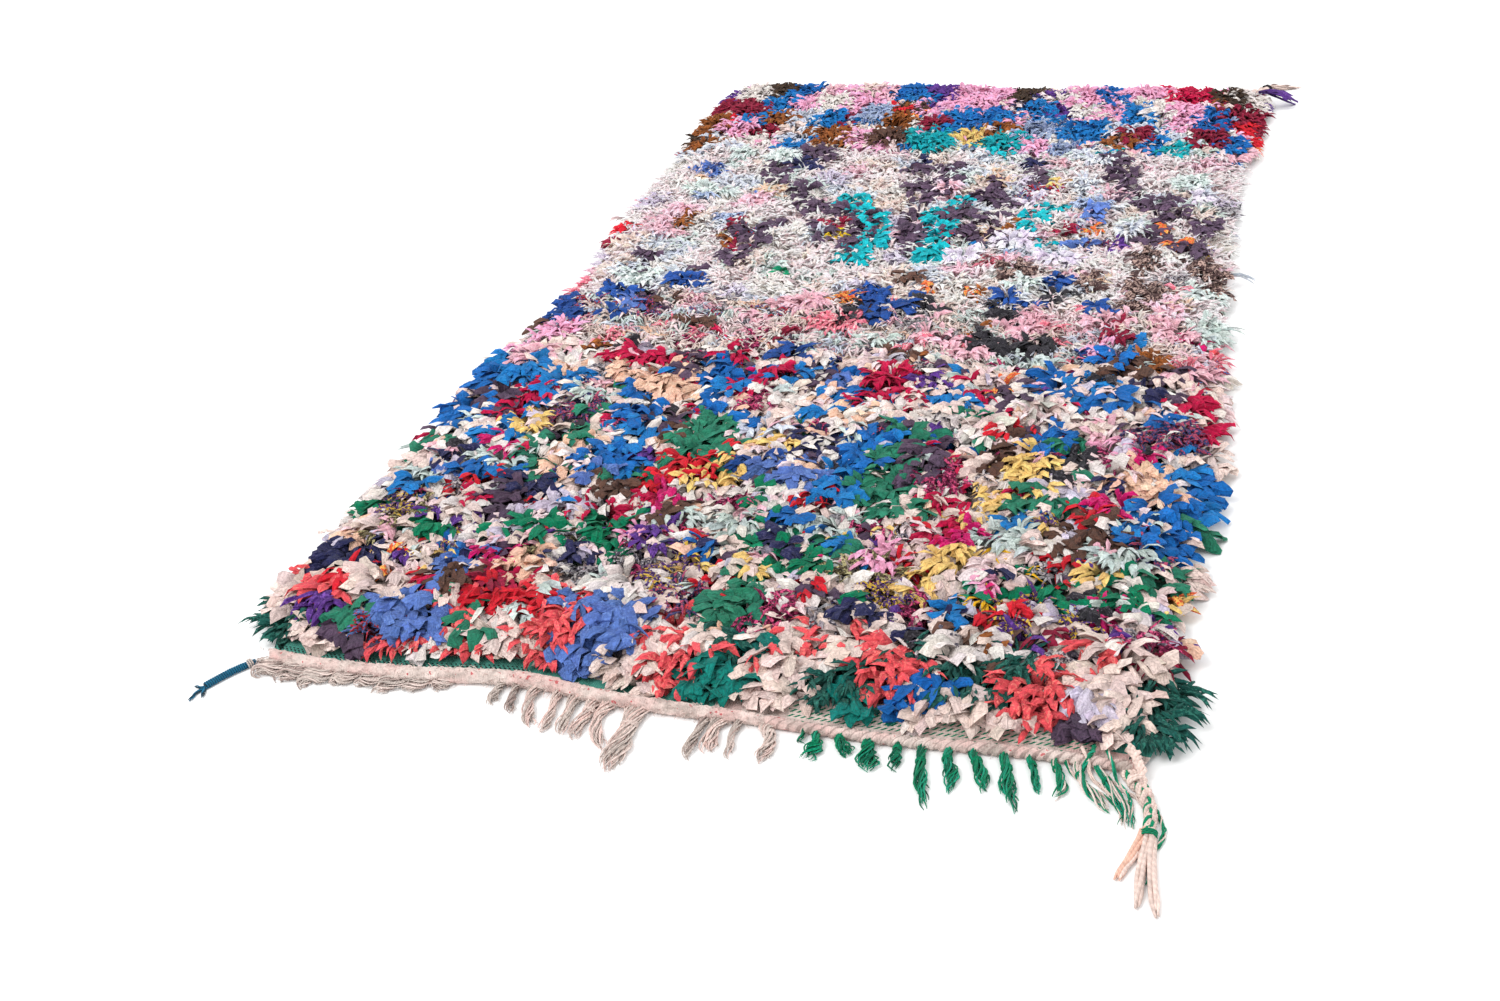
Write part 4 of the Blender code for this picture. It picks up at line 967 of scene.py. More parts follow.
def lay_strips(cut, roots, heading, length, width, rise, droop, curl, roll, chance):
    """Rag strips that rise from their roots, arch over and hang: rings of points from root to tip."""
    count, rings, corners = len(roots), cut.rings, cut.corners
    steps = rings - 1 + cut.pointed
    middle = (np.arange(steps) + 0.5) / steps
    pitch = rise[:, None] + (droop - rise)[:, None] * middle
    turn = heading[:, None] + curl[:, None] * (middle - 0.3)
    run = np.stack([np.cos(pitch) * np.cos(turn), np.cos(pitch) * np.sin(turn), np.sin(pitch)], axis=-1)
    run = run * (length / steps)[:, None, None]
    line = roots[:, None] + np.concatenate([np.zeros((count, 1, 3)), np.cumsum(run, axis=1)], axis=1)
    way = np.concatenate([run[:, :1], (run[:, 1:] + run[:, :-1]) / 2, run[:, -1:]], axis=1)[:, :rings]
    way = way / np.linalg.norm(way, axis=-1, keepdims=True)
    flat_side = np.stack([-way[..., 1], way[..., 0], np.zeros(way.shape[:2])], axis=-1)
    flat_side = flat_side / np.maximum(np.linalg.norm(flat_side, axis=-1, keepdims=True), 1e-9)
    flat_up = np.cross(way, flat_side)
    tilt = roll[:, None, None] + chance.normal(0, 0.22, (count, rings, 1))
    side = flat_side * np.cos(tilt) + flat_up * np.sin(tilt)
    up = np.cross(way, side)
    shares = [0.75, 1.0, 0.95, 0.78] if cut.pointed else [0.62, 0.92, 1.06, 1.04, 0.90]
    breadth = width[:, None] * np.array(shares[:rings]) * chance.uniform(0.80, 1.18, (count, rings))
    outline = np.zeros((count, rings, 3, 2))
    outline[:, :, 0, 0] = 0.5
    outline[:, :, 2, 0] = -0.5
    outline[:, :, 0, 1] = chance.uniform(-0.10, 0.10, (count, rings))
    outline[:, :, 2, 1] = chance.uniform(-0.10, 0.10, (count, rings))
    outline[:, :, 1, 0] = chance.uniform(-0.30, 0.30, (count, rings))
    outline[:, :, 1, 1] = cut.fold * chance.uniform(0.5, 1.5, (count, rings))
    points = loft(line[:, :rings], side, up, outline * breadth[:, :, None, None])
    if cut.pointed:
        return np.concatenate([points, line[:, rings:]], axis=1)
    slant = chance.uniform(-0.40, 0.40, (count, 1)) * width[:, None]
    points[:, -3] += way[:, -1] * slant
    points[:, -1] -= way[:, -1] * slant
    points[:, -2] += way[:, -1] * chance.uniform(-0.25, 0.40, (count, 1)) * width[:, None]
    return points


def strip_shade(cut, count, zone, chance):
    """Painted shade and light on each point of a strip: a factor on its dye from the zone's root value, low
    where the pile closes over it, to its tip value, times a random tone.
    """
    share = np.linspace(0, 1, cut.rings + cut.pointed)
    # Painted shade darkens the root, where the pile shades it; painted light brightens the tip where the
    # zone's tip value is over 1
    light = np.interp(share, [0, 0.35, 0.8, 1], [zone.root, 0.6 + 0.35 * zone.root, zone.tip, zone.tip])
    verts = np.repeat(light, [cut.corners] * cut.rings + [1] * cut.pointed)
    return verts * chance.normal(1, 0.07, (count, verts.size))


def strip_pleats(cut, count, chance):
    """Where each point lies across its strip's pleats."""
    across = np.tile(np.linspace(0, cut.pleats, cut.corners), cut.rings)
    if cut.pointed:
        across = np.append(across, cut.pleats / 2)
    return across + chance.uniform(0, 1, (count, 1))


def dye_batch(cut, points, kind, zone, chance):
    """A batch of strips in one cloth, with the painted shade and light and the pleats of each."""
    count = len(points)
    dye, fleck = dye_strips(kind, count, chance)
    shade = strip_shade(cut, count, zone, chance)
    pleat = strip_pleats(cut, count, chance)
    return Batch(points, cut.rings, cut.corners, cut.pointed, dye, fleck, shade, pleat)


def settle(points, floor):
    """Keeps every point of a strip on or over what lies under it, and presses the highest ones down."""
    levels = floor[:, None] + 0.0007 * (1 + np.arange(points.shape[1]) % 3)
    height = np.maximum(points[..., 2], levels)
    points[..., 2] = np.where(height > HIGHEST_TUFT, HIGHEST_TUFT + 0.5 * (height - HIGHEST_TUFT), height)
    return points


def floor_under(x, y):
    """Top of the weave where there is one, and the floor outside it."""
    left, right = side_edges(y, WEAVE_INSET)
    return np.where((x > left) & (x < right) & (y < FAR_END - WEAVE_INSET), WEAVE_THICK, 0.0)


def knot_places(zone, chance):
    """Knots of one zone: uneven rows across the rug, inside the pile's walls."""
    ys = np.arange(zone.near - 0.04, zone.far + 0.04, zone.row)
    xs = np.arange(-0.66, 0.66, zone.pitch)
    x, y = (grid.ravel() for grid in np.meshgrid(xs, ys))
    x = x + chance.uniform(-0.42, 0.42, x.size) * zone.pitch
    y = y + chance.uniform(-0.40, 0.40, x.size) * zone.row
    inside = rim_distance(x, np.maximum(y, hem_foot(x) + PILE_BEHIND_FOOT + 0.010)) > 0.004
    inside &= y > hem_foot(x) + FIRST_ROW + BAND_SHOWS * smooth((-0.12 - x) / 0.06)
    return x[inside], y[inside]


def cloth_finish(name, crease, thread):
    """Dyed cloth: pleats along each strip, uneven tone, printed flecks, creases and a fine weave, with
    painted shade in the creases and across the pleats.
    """
    finish = Finish(name, 0.92, 0.06)
    place = finish.place()
    dye = finish.attribute("dye")
    fleck = finish.attribute("fleck")
    share = finish.attribute("fleck", "Alpha")
    print_mask = finish.speckle(place, 230, 1.0) < (share * 0.32 + 0.36)
    printed = finish.blend(print_mask * (share * 3), dye, fleck)
    creases = finish.speckle(place, crease, 3.0, 1.0)
    pleat = ((finish.attribute("pleat", "Fac") + creases * 1.1) * (2 * math.pi)).sine()
    weave = finish.speckle(place, thread, 1.0)
    # fold is near 0 along the crease lines, so the tone below paints shade into each crease
    fold = finish.maths_of("MINIMUM", abs(creases - 0.5) * 16, 1.0)
    # tone: random tone and weave, plus painted shade: pleat bands lighter and darker across each strip, and
    # darker crease lines
    tone = finish.speckle(place, 62, 3.0) * 0.32 + weave * 0.24 + pleat * 0.07 + fold * 0.22 + 0.56
    finish.colour(finish.blend(1.0, printed, tone, "MULTIPLY"))
    finish.bump(creases * 1.2 + weave * 0.25 + pleat * 0.18 + fold * 0.3, 0.0022, 0.9)
    return finish.material


def build_pile():
    """Knots strips over the whole rug, zone by zone, and joins them lot by lot."""
    sizes = bpy.context.scene.rug_sizes
    own, scraps = plan_scraps()
    cloths = list(CLOTHS.values())
    lots = sorted({cloth.lot for cloth in cloths})
    gathered = {lot: [] for lot in lots}
    chance = np.random.default_rng(21)
    for number, zone in enumerate(ZONES):
        x, y = knot_places(zone, chance)
        found, zones = cloth_at(x, y, own, scraps, chance)
        mine = zones == number
        x, y, found = x[mine], y[mine], found[mine]
        for kind, cloth in enumerate(cloths):
            for by_weaver in (True, False):
                chosen = (found[:, CLOTH_COLUMN] == kind) & (found[:, OWN_COLUMN] == by_weaver)
                if not chosen.any():
                    continue
                cut = cut_in(zone, cloth, by_weaver)
                points = knot_strips(cut, zone, x[chosen], y[chosen], found[chosen], sizes, chance)
                gathered[cloth.lot].append(dye_batch(cut, points, kind, zone, chance))
    add_long_locks(gathered, chance)
    finish = cloth_finish("dyed_rags", 120, 1300)
    for lot, batches in gathered.items():
        make_piece("pile_" + lot, batches, finish, ["shag_pile"])


def cut_in(zone, cloth, by_weaver):
    """How a cloth is cut in one zone, in the weaver's own patches and in the scraps between them."""
    name = zone.broad if cloth.cut == "leaf" else cloth.cut
    if zone.cut and not by_weaver and cloth.cut != "yarn":
        name = zone.cut
    return CUTS[name]._replace(rings=CUTS[name].rings - zone.fewer)


def add_long_locks(gathered, chance):
    """Ragged locks that reach out past the pile's sides."""
    for lock in LONG_LOCKS:
        cut = CUTS["leaf" if lock.width > 0.01 else "shred"]
        width = np.full(lock.strips, lock.width) * chance.uniform(0.7, 1.3, lock.strips)
        length = lock.length * chance.uniform(0.7, 1.0, lock.strips)
        heading = math.radians(lock.heading) + chance.normal(0, 0.12, lock.strips)
        roots = np.tile([lock.x, lock.y, lock.z], (lock.strips, 1))
        roots[:, :2] += chance.uniform(-0.006, 0.006, (lock.strips, 2))
        rise = np.radians(chance.normal(12, 8, lock.strips))
        droop = np.radians(chance.normal(-34, 6, lock.strips))
        curl = chance.normal(0, 0.5, lock.strips)
        roll = chance.normal(0, 0.3, lock.strips)
        points = lay_strips(cut, roots, heading, length, width, rise, droop, curl, roll, chance)
        points = settle(points, floor_under(roots[:, 0], roots[:, 1]))
        # The locks take the near zone's painted root shade and tip light
        batch = dye_batch(cut, points, CLOTH_NAMES.index(lock.cloth), ZONES[0], chance)
        gathered[CLOTHS[lock.cloth].lot].append(batch)


def rim_pull(distance, strength):
    """How strongly a tuft this far inside one of the pile's walls leans out over it."""
    return strength * np.exp(-distance / RIM_PULL_REACH)


def knot_strips(cut, zone, x, y, found, sizes, chance):
    """Strips of the knots at these places: they fan out from a patch's middle and lean to the near end."""
    strips = cut.strips
    turn = chance.uniform(0, 2 * math.pi, x.size)
    reach = np.maximum(found[:, 2:4], 0.012)
    fan = np.stack([(x - found[:, 0]) / reach[:, 0], (y - found[:, 1]) / reach[:, 1]], axis=1)
    fan = fan / np.maximum(np.linalg.norm(fan, axis=1, keepdims=True), 0.6)
    left, right = side_edges(y, PILE_RIM_INSET)
    to_near = y - hem_foot(x) - PILE_BEHIND_FOOT
    outward = np.stack([
        rim_pull(right - x, 2.2) - rim_pull(x - left, 2.2),
        rim_pull(PILE_FAR_WALL - y, 2.0) - rim_pull(to_near, 0.9),
    ], axis=1)
    heading = 0.48 * fan + 0.50 * np.stack([np.cos(turn), np.sin(turn)], axis=1) + [0, -zone.lean] + outward
    heading = np.repeat(np.arctan2(heading[:, 1], heading[:, 0]), strips)
    x, y, to_near = (np.repeat(values, strips) for values in (x, y, to_near))
    count = x.size
    x = x + chance.uniform(-0.003, 0.003, count)
    y = y + chance.uniform(-0.003, 0.003, count)
    heading = heading + chance.normal(0, cut.spread, count)
    length = cut.length * zone.scale * chance.uniform(0.72, 1.18, count)
    width = cut.width * zone.scale * chance.uniform(0.65, 1.35, count)
    edge = np.exp(-np.maximum(rim_distance(x, y), 0) / 0.020) * (to_near > 0.03)
    rise = np.radians(cut.rise + chance.normal(0, 11, count) - 26 * edge)
    droop = np.radians(cut.droop + chance.normal(0, 16, count))
    curl = chance.normal(0, 0.7, count)
    roll = chance.normal(0, 0.42, count)
    depth = sizes.tuft_height * np.clip(length / 0.045, 0.6, 1.1)
    lift = PATCH_LIFT * np.repeat(found[:, OWN_COLUMN], strips)
    base = np.maximum(pile_height(x, y, sizes) - depth + lift, WEAVE_THICK + 0.002)
    length = np.where((to_near < 0.02) & (np.sin(heading) < -0.2), length * 0.72, length)
    roots = np.stack([x, y, base], axis=1)
    points = lay_strips(cut, roots, heading, length, width, rise, droop, curl, roll, chance)
    return settle(points, floor_under(x, y))


def build_bed():
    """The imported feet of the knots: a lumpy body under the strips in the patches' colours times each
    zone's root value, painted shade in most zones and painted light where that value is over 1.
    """
    sizes = bpy.context.scene.rug_sizes
    own, scraps = plan_scraps()
    chance = np.random.default_rng(8)
    mesh = bmesh.new()
    bmesh.ops.create_grid(mesh, x_segments=80, y_segments=148, size=0.5)
    flat = np.array([vert.co[:2] for vert in mesh.verts])
    near_wall = hem_foot(RUG_WIDTH * flat[:, 0]) + PILE_BEHIND_FOOT + 0.006
    y = near_wall + (flat[:, 1] + 0.5) * (PILE_FAR_WALL - 0.008 - near_wall)
    left, right = side_edges(y, PILE_RIM_INSET + 0.010)
    x = left + (flat[:, 0] + 0.5) * (right - left)
    inner = np.abs(flat).max(axis=1) < 0.499
    x = x + inner * chance.uniform(-0.004, 0.004, x.size)
    y = y + inner * chance.uniform(-0.004, 0.004, x.size)
    top = pile_height(x, y, sizes) - sizes.tuft_height + chance.uniform(-0.003, 0.004, x.size)
    top = np.maximum(top, WEAVE_THICK + 0.004)
    for vert, place in zip(mesh.verts, np.stack([x, y, top], axis=1)):
        vert.co = place
    rim = [edge for edge in mesh.edges if edge.is_boundary]
    lower = bmesh.ops.extrude_edge_only(mesh, edges=rim)["geom"]
    for part in lower:
        if isinstance(part, bmesh.types.BMVert):
            part.co.z = WEAVE_THICK + 0.0003
    lower_edges = [part for part in lower if isinstance(part, bmesh.types.BMEdge)]
    bmesh.ops.contextual_create(mesh, geom=lower_edges)
    bmesh.ops.recalc_face_normals(mesh, faces=mesh.faces)
    data = bpy.data.meshes.new("pile_bed")
    mesh.to_mesh(data)
    mesh.free()
    places = np.array([vert.co[:2] for vert in data.vertices])
    found, _ = cloth_at(places[:, 0], places[:, 1], own, scraps, chance)
    dye, fleck = dye_strips(found[:, CLOTH_COLUMN].astype(int), len(found), chance)
    middles = [(zone.near + zone.far) / 2 for zone in ZONES]
    # Painted shade on the bed: its colour scaled by 0.95 of the zone's root value, lighter than the dye only
    # where that value is over 1
    dye = dye * np.interp(places[:, 1], middles, [0.95 * zone.root for zone in ZONES])[:, None]
    paint(data, "dye", dye)
    paint(data, "fleck", fleck)
    set_values(data, "pleat", places[:, 0] * 260)
    data.materials.append(cloth_finish("packed_knots", 160, 900))
    hand_over(bpy.data.objects.new("pile_bed", data), ["shag_pile"])


def smooth_route(places, count):
    """Evenly timed points of a smooth curve on the floor through a few given places."""
    points = np.array([(x, y, 0) for x, y in places], float)
    padded = np.concatenate([2 * points[:1] - points[1:2], points, 2 * points[-1:] - points[-2:-1]])
    gaps = np.concatenate([[0], np.cumsum(np.linalg.norm(np.diff(points, axis=0), axis=1))])
    at = np.linspace(0, gaps[-1], count)
    span = np.clip(np.searchsorted(gaps, at, side="right") - 1, 0, len(points) - 2)
    t = ((at - gaps[span]) / np.diff(gaps)[span])[:, None]
    a, b, c, d = (padded[span + k] for k in range(4))
    second = 2 * a - 5 * b + 4 * c - d
    third = 3 * b - a - 3 * c + d
    return 0.5 * (2 * b + (c - a) * t + second * t ** 2 + third * t ** 3)


def left_of(route):
    """Which way is left of a route on the floor, at each of its points."""
    way = np.gradient(route[:, :2], axis=0)
    return np.stack([-way[:, 1], way[:, 0]], axis=1) / np.linalg.norm(way, axis=1, keepdims=True)


def tube(line, radius, corners=5, facing=(0, 0, 1)):
    """Rings of points around a yarn's centre line."""
    way = np.gradient(line, axis=0)
    way = way / np.linalg.norm(way, axis=1, keepdims=True)
    side = np.cross(np.broadcast_to(np.asarray(facing, float), way.shape), way)
    side = side / np.maximum(np.linalg.norm(side, axis=1, keepdims=True), 1e-6)
    up = np.cross(way, side)
    turns = 2 * math.pi * np.arange(corners) / corners
    radius = np.broadcast_to(radius, len(line))[:, None, None]
    rings = side[:, None] * np.cos(turns)[:, None] + up[:, None] * np.sin(turns)[:, None]
    return (line[:, None] + rings * radius).reshape(-1, 3)


class Skein:
    """Gathers the yarns of one piece and their dyes, sorted by the number of their rings."""

    def __init__(self, seed, corners=5):
        self.chance = np.random.default_rng(seed)
        self.corners = corners
        self.yarns = {}

    def add(self, line, radius, dye, facing=(0, 0, 1)):
        """One yarn along a line, kept off the floor, in a tone of its own."""
        points = tube(line, radius, self.corners, facing)
        points[:, 2] = np.maximum(points[:, 2], 0.0003)
        tone = self.chance.normal(1, DYE_SPREAD)
        colour = np.clip(linear(YARNS[dye]) * tone, 0.002, MOST_LIGHT)
        self.yarns.setdefault(len(line), []).append((points, colour))

    def wrap(self, middle, way, width, height, turns, pitch, radius, dye):
        """A yarn wound round a bundle that lies on the floor."""
        way = np.asarray([*way, 0.0]) / math.hypot(*way)
        side = np.array([-way[1], way[0], 0])
        angle = np.linspace(0, 2 * math.pi * turns, int(turns * 12) + 1)[:, None]
        along = way * (angle / (2 * math.pi) - turns / 2) * pitch
        ring = side * np.cos(angle) * width / 2 + np.array([0, 0, 1]) * np.sin(angle) * height / 2
        self.add(np.asarray(middle) + along + ring, radius, dye, facing=way)

    def batches(self):
        """The yarns as batches, with the twist of their plies."""
        for rings, yarns in self.yarns.items():
            points = np.stack([points for points, _ in yarns])
            dye = np.stack([colour for _, colour in yarns])
            fleck = np.concatenate([dye * 0.6, np.full((len(yarns), 1), 0.15)], axis=1)
            shade = self.chance.normal(1, 0.05, points.shape[:2])
            ply = np.arange(rings)[:, None] * 0.9 + np.arange(self.corners) / self.corners
            pleat = np.broadcast_to(ply.ravel(), points.shape[:2])
            yield Batch(points, rings, self.corners, False, dye, fleck, shade, pleat)


def make_yarn_piece(name, skeins, finish, node):
    """Joins the yarns of some skeins into one piece."""
    batches = [batch for skein in skeins for batch in skein.batches()]
    make_piece(name, batches, finish, [node], crease=75)


def bundle(skein, route, widths, heights, count, radius, dyes, waver, uneven, twist, lift=0.0):
    """Loose yarns side by side along one route, on the floor, with uneven ends."""
    chance = skein.chance
    rings = len(route)
    side = left_of(route)
    t = np.linspace(0, 1, rings)
    for k in range(count):
        turn = 2 * math.pi * (k / count + twist * t) + chance.uniform(-0.3, 0.3)
        share = math.sqrt((k % 3 + 0.6) / 2.8)
        across = np.cos(turn) * share * widths / 2
        above = (1 + np.sin(turn) * share) * heights / 2
        wave = waver * np.sin(2 * math.pi * (t * chance.uniform(1.2, 2.6) + chance.uniform())) * t
        place = route[:, :2] + side * (across + wave)[:, None]
        line = np.column_stack([place, np.maximum(above, radius) + lift])
        reach = 1 - chance.uniform(0, uneven)
        line = np.stack([np.interp(t * reach, t, line[:, axis]) for axis in range(3)], axis=1)
        taper = radius * np.interp(t, [0, 0.85, 1], [1, 0.95, 0.35]) * chance.uniform(0.8, 1.2)
        skein.add(line, taper, dyes[chance.integers(len(dyes))])


# Widths of a tassel from its root to its end, as shares of the whole: drawn in and loose again, a knot with a
# thin end, a short brush, and locks that taper
LOOSE_WIDTHS = [1.20, 0.90, 0.60, 1.05, 1.10, 0.40]
BALL_WIDTHS = [0.60, 0.50, 0.42, 1.05, 0.45, 0.14]
BRUSH_WIDTHS = [0.60, 0.50, 0.42, 1.05, 1.00, 0.25]
FLEECE_WIDTHS = [1.60, 1.45, 1.25, 0.95, 0.62, 0.30]


# How high a tassel's knot lies over the floor at its middle, and how tall it is
KNOT_MIDDLE = 0.0054
KNOT_HEIGHT = 0.0096


def lay_tassel(skein, tassel, dyes, yarn, shares, knotted, full=1.0, waver=0.0026, uneven=0.28):
    """One bundle of warp ends: spread at the hem, drawn in on the way, loose at its end."""
    chance = skein.chance
    foot = float(hem_foot(tassel.root))
    places = [(tassel.root, foot + 0.008), (tassel.root, foot - 0.003), *tassel.path]
    route = smooth_route(places, 14)
    t = np.linspace(0, 1, len(route))
    widths = tassel.width * np.interp(t, [0, 0.2, 0.34, 0.6, 0.85, 1], shares)
    roll = float(between(HEM_ROLL, "x", "share", tassel.root))
    heights = np.interp(t, [0, 0.25, 0.7, 1], [0.012 * roll, 0.011, 0.009, 0.005])
    count = max(6, round(full * tassel.width / (0.72 * yarn)))
    bundle(skein, route, widths, heights, count, yarn, dyes, waver, uneven, twist=chance.uniform(0.5, 1.1))
    if knotted:
        at = round(0.34 * (len(route) - 1))
        way = route[at + 1, :2] - route[at - 1, :2]
        middle = (*route[at, :2], KNOT_MIDDLE)
        wide = shares[2] * tassel.width + 3 * yarn
        skein.wrap(middle, way, wide, KNOT_HEIGHT, 2.2, 2.0 * yarn, 1.1 * yarn, dyes[0])


def yarn_finish(name, fuzz):
    """Spun yarn: uneven tone, painted shade along the twist of its plies, and a fine fuzz."""
    finish = Finish(name, 0.95, 0.10)
    place = finish.place()
    ply = (finish.attribute("pleat", "Fac") * (2 * math.pi)).sine()
    # The ply term paints lighter and darker bands along the twist: painted shade
    tone = finish.speckle(place, 90, 3.0) * 0.55 + finish.speckle(place, 900, 1.0) * 0.35 + ply * 0.08 + 0.52
    finish.colour(finish.blend(1.0, finish.attribute("dye"), tone, "MULTIPLY"))
    finish.bump(finish.speckle(place, fuzz, 2.0) + ply * 0.35, 0.0012, 0.8)
    return finish.material


def build_cream_fringe():
    """Fleecy locks under the hem's left part, then knotted cream tassels up to the middle."""
    skein = Skein(31, corners=4)
    fleece = Skein(37, corners=3)
    for tassel in CREAM_TASSELS:
        if tassel.root < -0.25:
            dyes = ["wool_grey", "wool_cream", "wool_grey", "ash"]
            lay_tassel(fleece, tassel, dyes, 0.0010, FLEECE_WIDTHS, False, 1.1, waver=0.0045, uneven=0.60)
            continue
        grey = abs(tassel.root - 0.057) < 0.01 or tassel.root < -0.2
        dyes = ["wool_grey", "ash", "wool_grey"] if grey else ["wool_cream", "wool_pink", "wool_grey"]
        knotted = tassel.root in (-0.094, -0.034, 0.136)
        lay_tassel(skein, tassel, dyes, 0.0013, LOOSE_WIDTHS, knotted)
    finish = yarn_finish("cream_warp", 620)
    make_yarn_piece("cream_fringe", [skein, fleece], finish, "fringe_cream")


def build_hem_fuzz():
    """Loose fibres that stand off the hem's roll, mostly on its left part."""
    skein = Skein(36, corners=3)
    chance = skein.chance
    dyes = ["wool_cream", "wool_pink", "wool_grey"]
    radii = np.array([0.0005, 0.0004, 0.0002])
    for x in np.concatenate([chance.uniform(-0.585, 0.14, 560), chance.uniform(0.14, 0.58, 90)]):
        size = float(between(HEM_ROLL, "x", "share", x))
        angle = math.radians(chance.uniform(-30, 130))
        away = np.array([chance.normal(0, 0.7), -math.cos(angle), math.sin(angle) + 0.2])
        y = float(hem_foot(x)) + size * ROLL_DEPTH * (1 - math.cos(angle))
        start = np.array([x, y, size * (ROLL_MIDDLE + ROLL_HEIGHT * math.sin(angle))]) - 0.001 * away
        bend = np.array([chance.normal(0, 0.6), -0.3, -0.8])
        reach = chance.uniform(0.003, 0.008)
        line = np.array([start + away * reach * t + bend * reach * 0.6 * t * t for t in (0, 0.5, 1)])
        skein.add(line, radii, dyes[chance.integers(3)])
    make_yarn_piece("hem_fuzz", [skein], yarn_finish("hem_fuzz", 620), "ground_weave")


def build_green_fringe():
    """Green tassels to the right of the middle, and marled ones towards the corner."""
    skein = Skein(32, corners=4)
    for tassel in GREEN_TASSELS:
        marled = tassel.root > 0.48
        dyes = ["wool_green", "wool_cream", "wool_sea"] if marled else ["wool_green", "wool_sea", "wool_deep"]
        shares = BALL_WIDTHS if len(tassel.path) > 2 or marled else BRUSH_WIDTHS
        knotted = tassel.root > 0.21
        lay_tassel(skein, tassel, dyes, 0.0012, shares, knotted, full=0.9, waver=0.0034, uneven=0.34)
    make_yarn_piece("green_fringe", [skein], yarn_finish("green_warp", 620), "fringe_green")


def plait(skein, stretches, dyes, pitch, yarn, count=4, rings=40):
    """Three cords over and under each other, each of a few twisted yarns."""
    route = smooth_route([(s.x, s.y) for s in stretches], rings)
    t = np.linspace(0, 1, rings)
    at = np.linspace(0, 1, len(stretches))
    widths = np.interp(t, at, [s.width for s in stretches])
    heights = np.interp(t, at, [s.height for s in stretches])
    run = np.concatenate([[0], np.cumsum(np.linalg.norm(np.diff(route, axis=0), axis=1))])
    side = left_of(route)
    for k in range(3):
        turn = 2 * math.pi * (run / pitch + k / 3)
        across = 0.30 * widths * np.sin(turn)
        above = heights * (0.5 + 0.20 * np.sin(2 * turn))
        for j in range(count):
            spin = 2 * math.pi * (j / count + run / (0.6 * pitch))
            own_across = across + 0.14 * widths * np.cos(spin)
            own_above = np.maximum(above + 0.16 * heights * np.sin(spin), yarn)
            place = route[:, :2] + side * own_across[:, None]
            skein.add(np.column_stack([place, own_above]), yarn, dyes[(j + k) % len(dyes)])


def over_hem(route):
    """How high a cord is lifted where it crosses the hem's roll."""
    behind = route[:, 1] - hem_foot(route[:, 0])
    return ROLL_TOP * between(HEM_ROLL, "x", "share", route[:, 0]) * smooth((behind + 0.012) / 0.012)


def build_right_tail():
    """The thick plait at the right corner, its loose ends and the yarns that stray round it."""
    skein = Skein(33)
    dyes = ["rag_cream", "rag_cream", "wool_green", "rag_cream", "wool_pink"]
    plait(skein, RIGHT_TAIL, dyes, 0.052, 0.0024)
    start = RIGHT_TAIL[-1]
    t = np.linspace(0, 1, 16)
    widths = np.interp(t, [0, 0.5, 1], [0.008, 0.010, 0.007])
    heights = np.interp(t, [0, 0.6, 1], [0.009, 0.008, 0.006])
    end_dyes = [["rag_cream"], ["rag_cream", "wool_green", "rag_cream"], ["rag_cream", "rag_peach"]]
    for offset, end, dyes in zip((0.004, 0.0, -0.004), RIGHT_ENDS, end_dyes):
        line = smooth_route([(start.x + offset, start.y + 0.012), *end], 16)
        bundle(skein, line, widths, heights, 4, 0.0029, dyes, waver=0.0010, uneven=0.10, twist=0.35)
    skein.wrap((0.6045, -1.296, 0.0062), (0.0, -1.0), 0.018, 0.0118, 2.4, 0.0030, 0.0013, "wool_green")
    for stray in RIGHT_STRAYS:
        line = smooth_route(stray.route, 22)
        across = np.full(22, 3.8 * stray.yarn)
        bundle(skein, line, across, across, 4, stray.yarn, stray.dyes, 0.0014, 0.1, 3.0, lift=over_hem(line))
    skein.wrap((0.583, -1.213, 0.0074), (0.45, -0.9), 0.022, 0.0145, 1.6, 0.0040, 0.0020, "rag_cream")
    finish = yarn_finish("right_tail", 520)
    make_yarn_piece("right_tail", [skein], finish, "corner_tail_right")


def build_left_tail():
    """The thin tail at the left corner: a dark core wound with blue yarn, with three loose ends."""
    skein = Skein(34)
    route = smooth_route([(s.x, s.y) for s in LEFT_TAIL], 30)
    t = np.linspace(0, 1, 30)
    at = np.linspace(0, 1, len(LEFT_TAIL))
    widths = np.interp(t, at, [0.7 * s.width for s in LEFT_TAIL])
    heights = np.interp(t, at, [0.7 * s.height for s in LEFT_TAIL])
    line = np.column_stack([route[:, :2], heights / 2 + 0.001])
    skein.add(line, widths / 2, "wound_dark")
    side = left_of(route)
    fine = np.linspace(0, 1, 260)
    spin = 2 * math.pi * fine * 24
    middle = np.stack([np.interp(fine, t, line[:, axis]) for axis in range(3)], axis=1)
    side = np.stack([np.interp(fine, t, side[:, axis]) for axis in range(2)], axis=1)
    reach = np.interp(fine, t, widths / 2) + 0.0004
    wound = middle + np.column_stack([side * (reach * np.cos(spin))[:, None], reach * np.sin(spin)])
    skein.add(wound, 0.0012, "wound_blue", facing=(0.5, 0.86, 0.0))
    dyes = ["wound_blue", "wound_dark"]
    start = LEFT_TAIL[-1]
    for end in LEFT_ENDS:
        line = smooth_route([(start.x, start.y + 0.006), (start.x, start.y), *end], 12)
        bundle(skein, line, np.full(12, 0.0045), np.full(12, 0.004), 4, 0.0010, dyes, 0.0010, 0.3, 1.0)
    skein.wrap((-0.5905, -1.1965, 0.0052), (-0.6, -0.8), 0.0115, 0.0095, 2.2, 0.0030, 0.0013, "wool_grey")
    make_yarn_piece("left_tail", [skein], yarn_finish("left_tail", 700), "corner_tail_left")


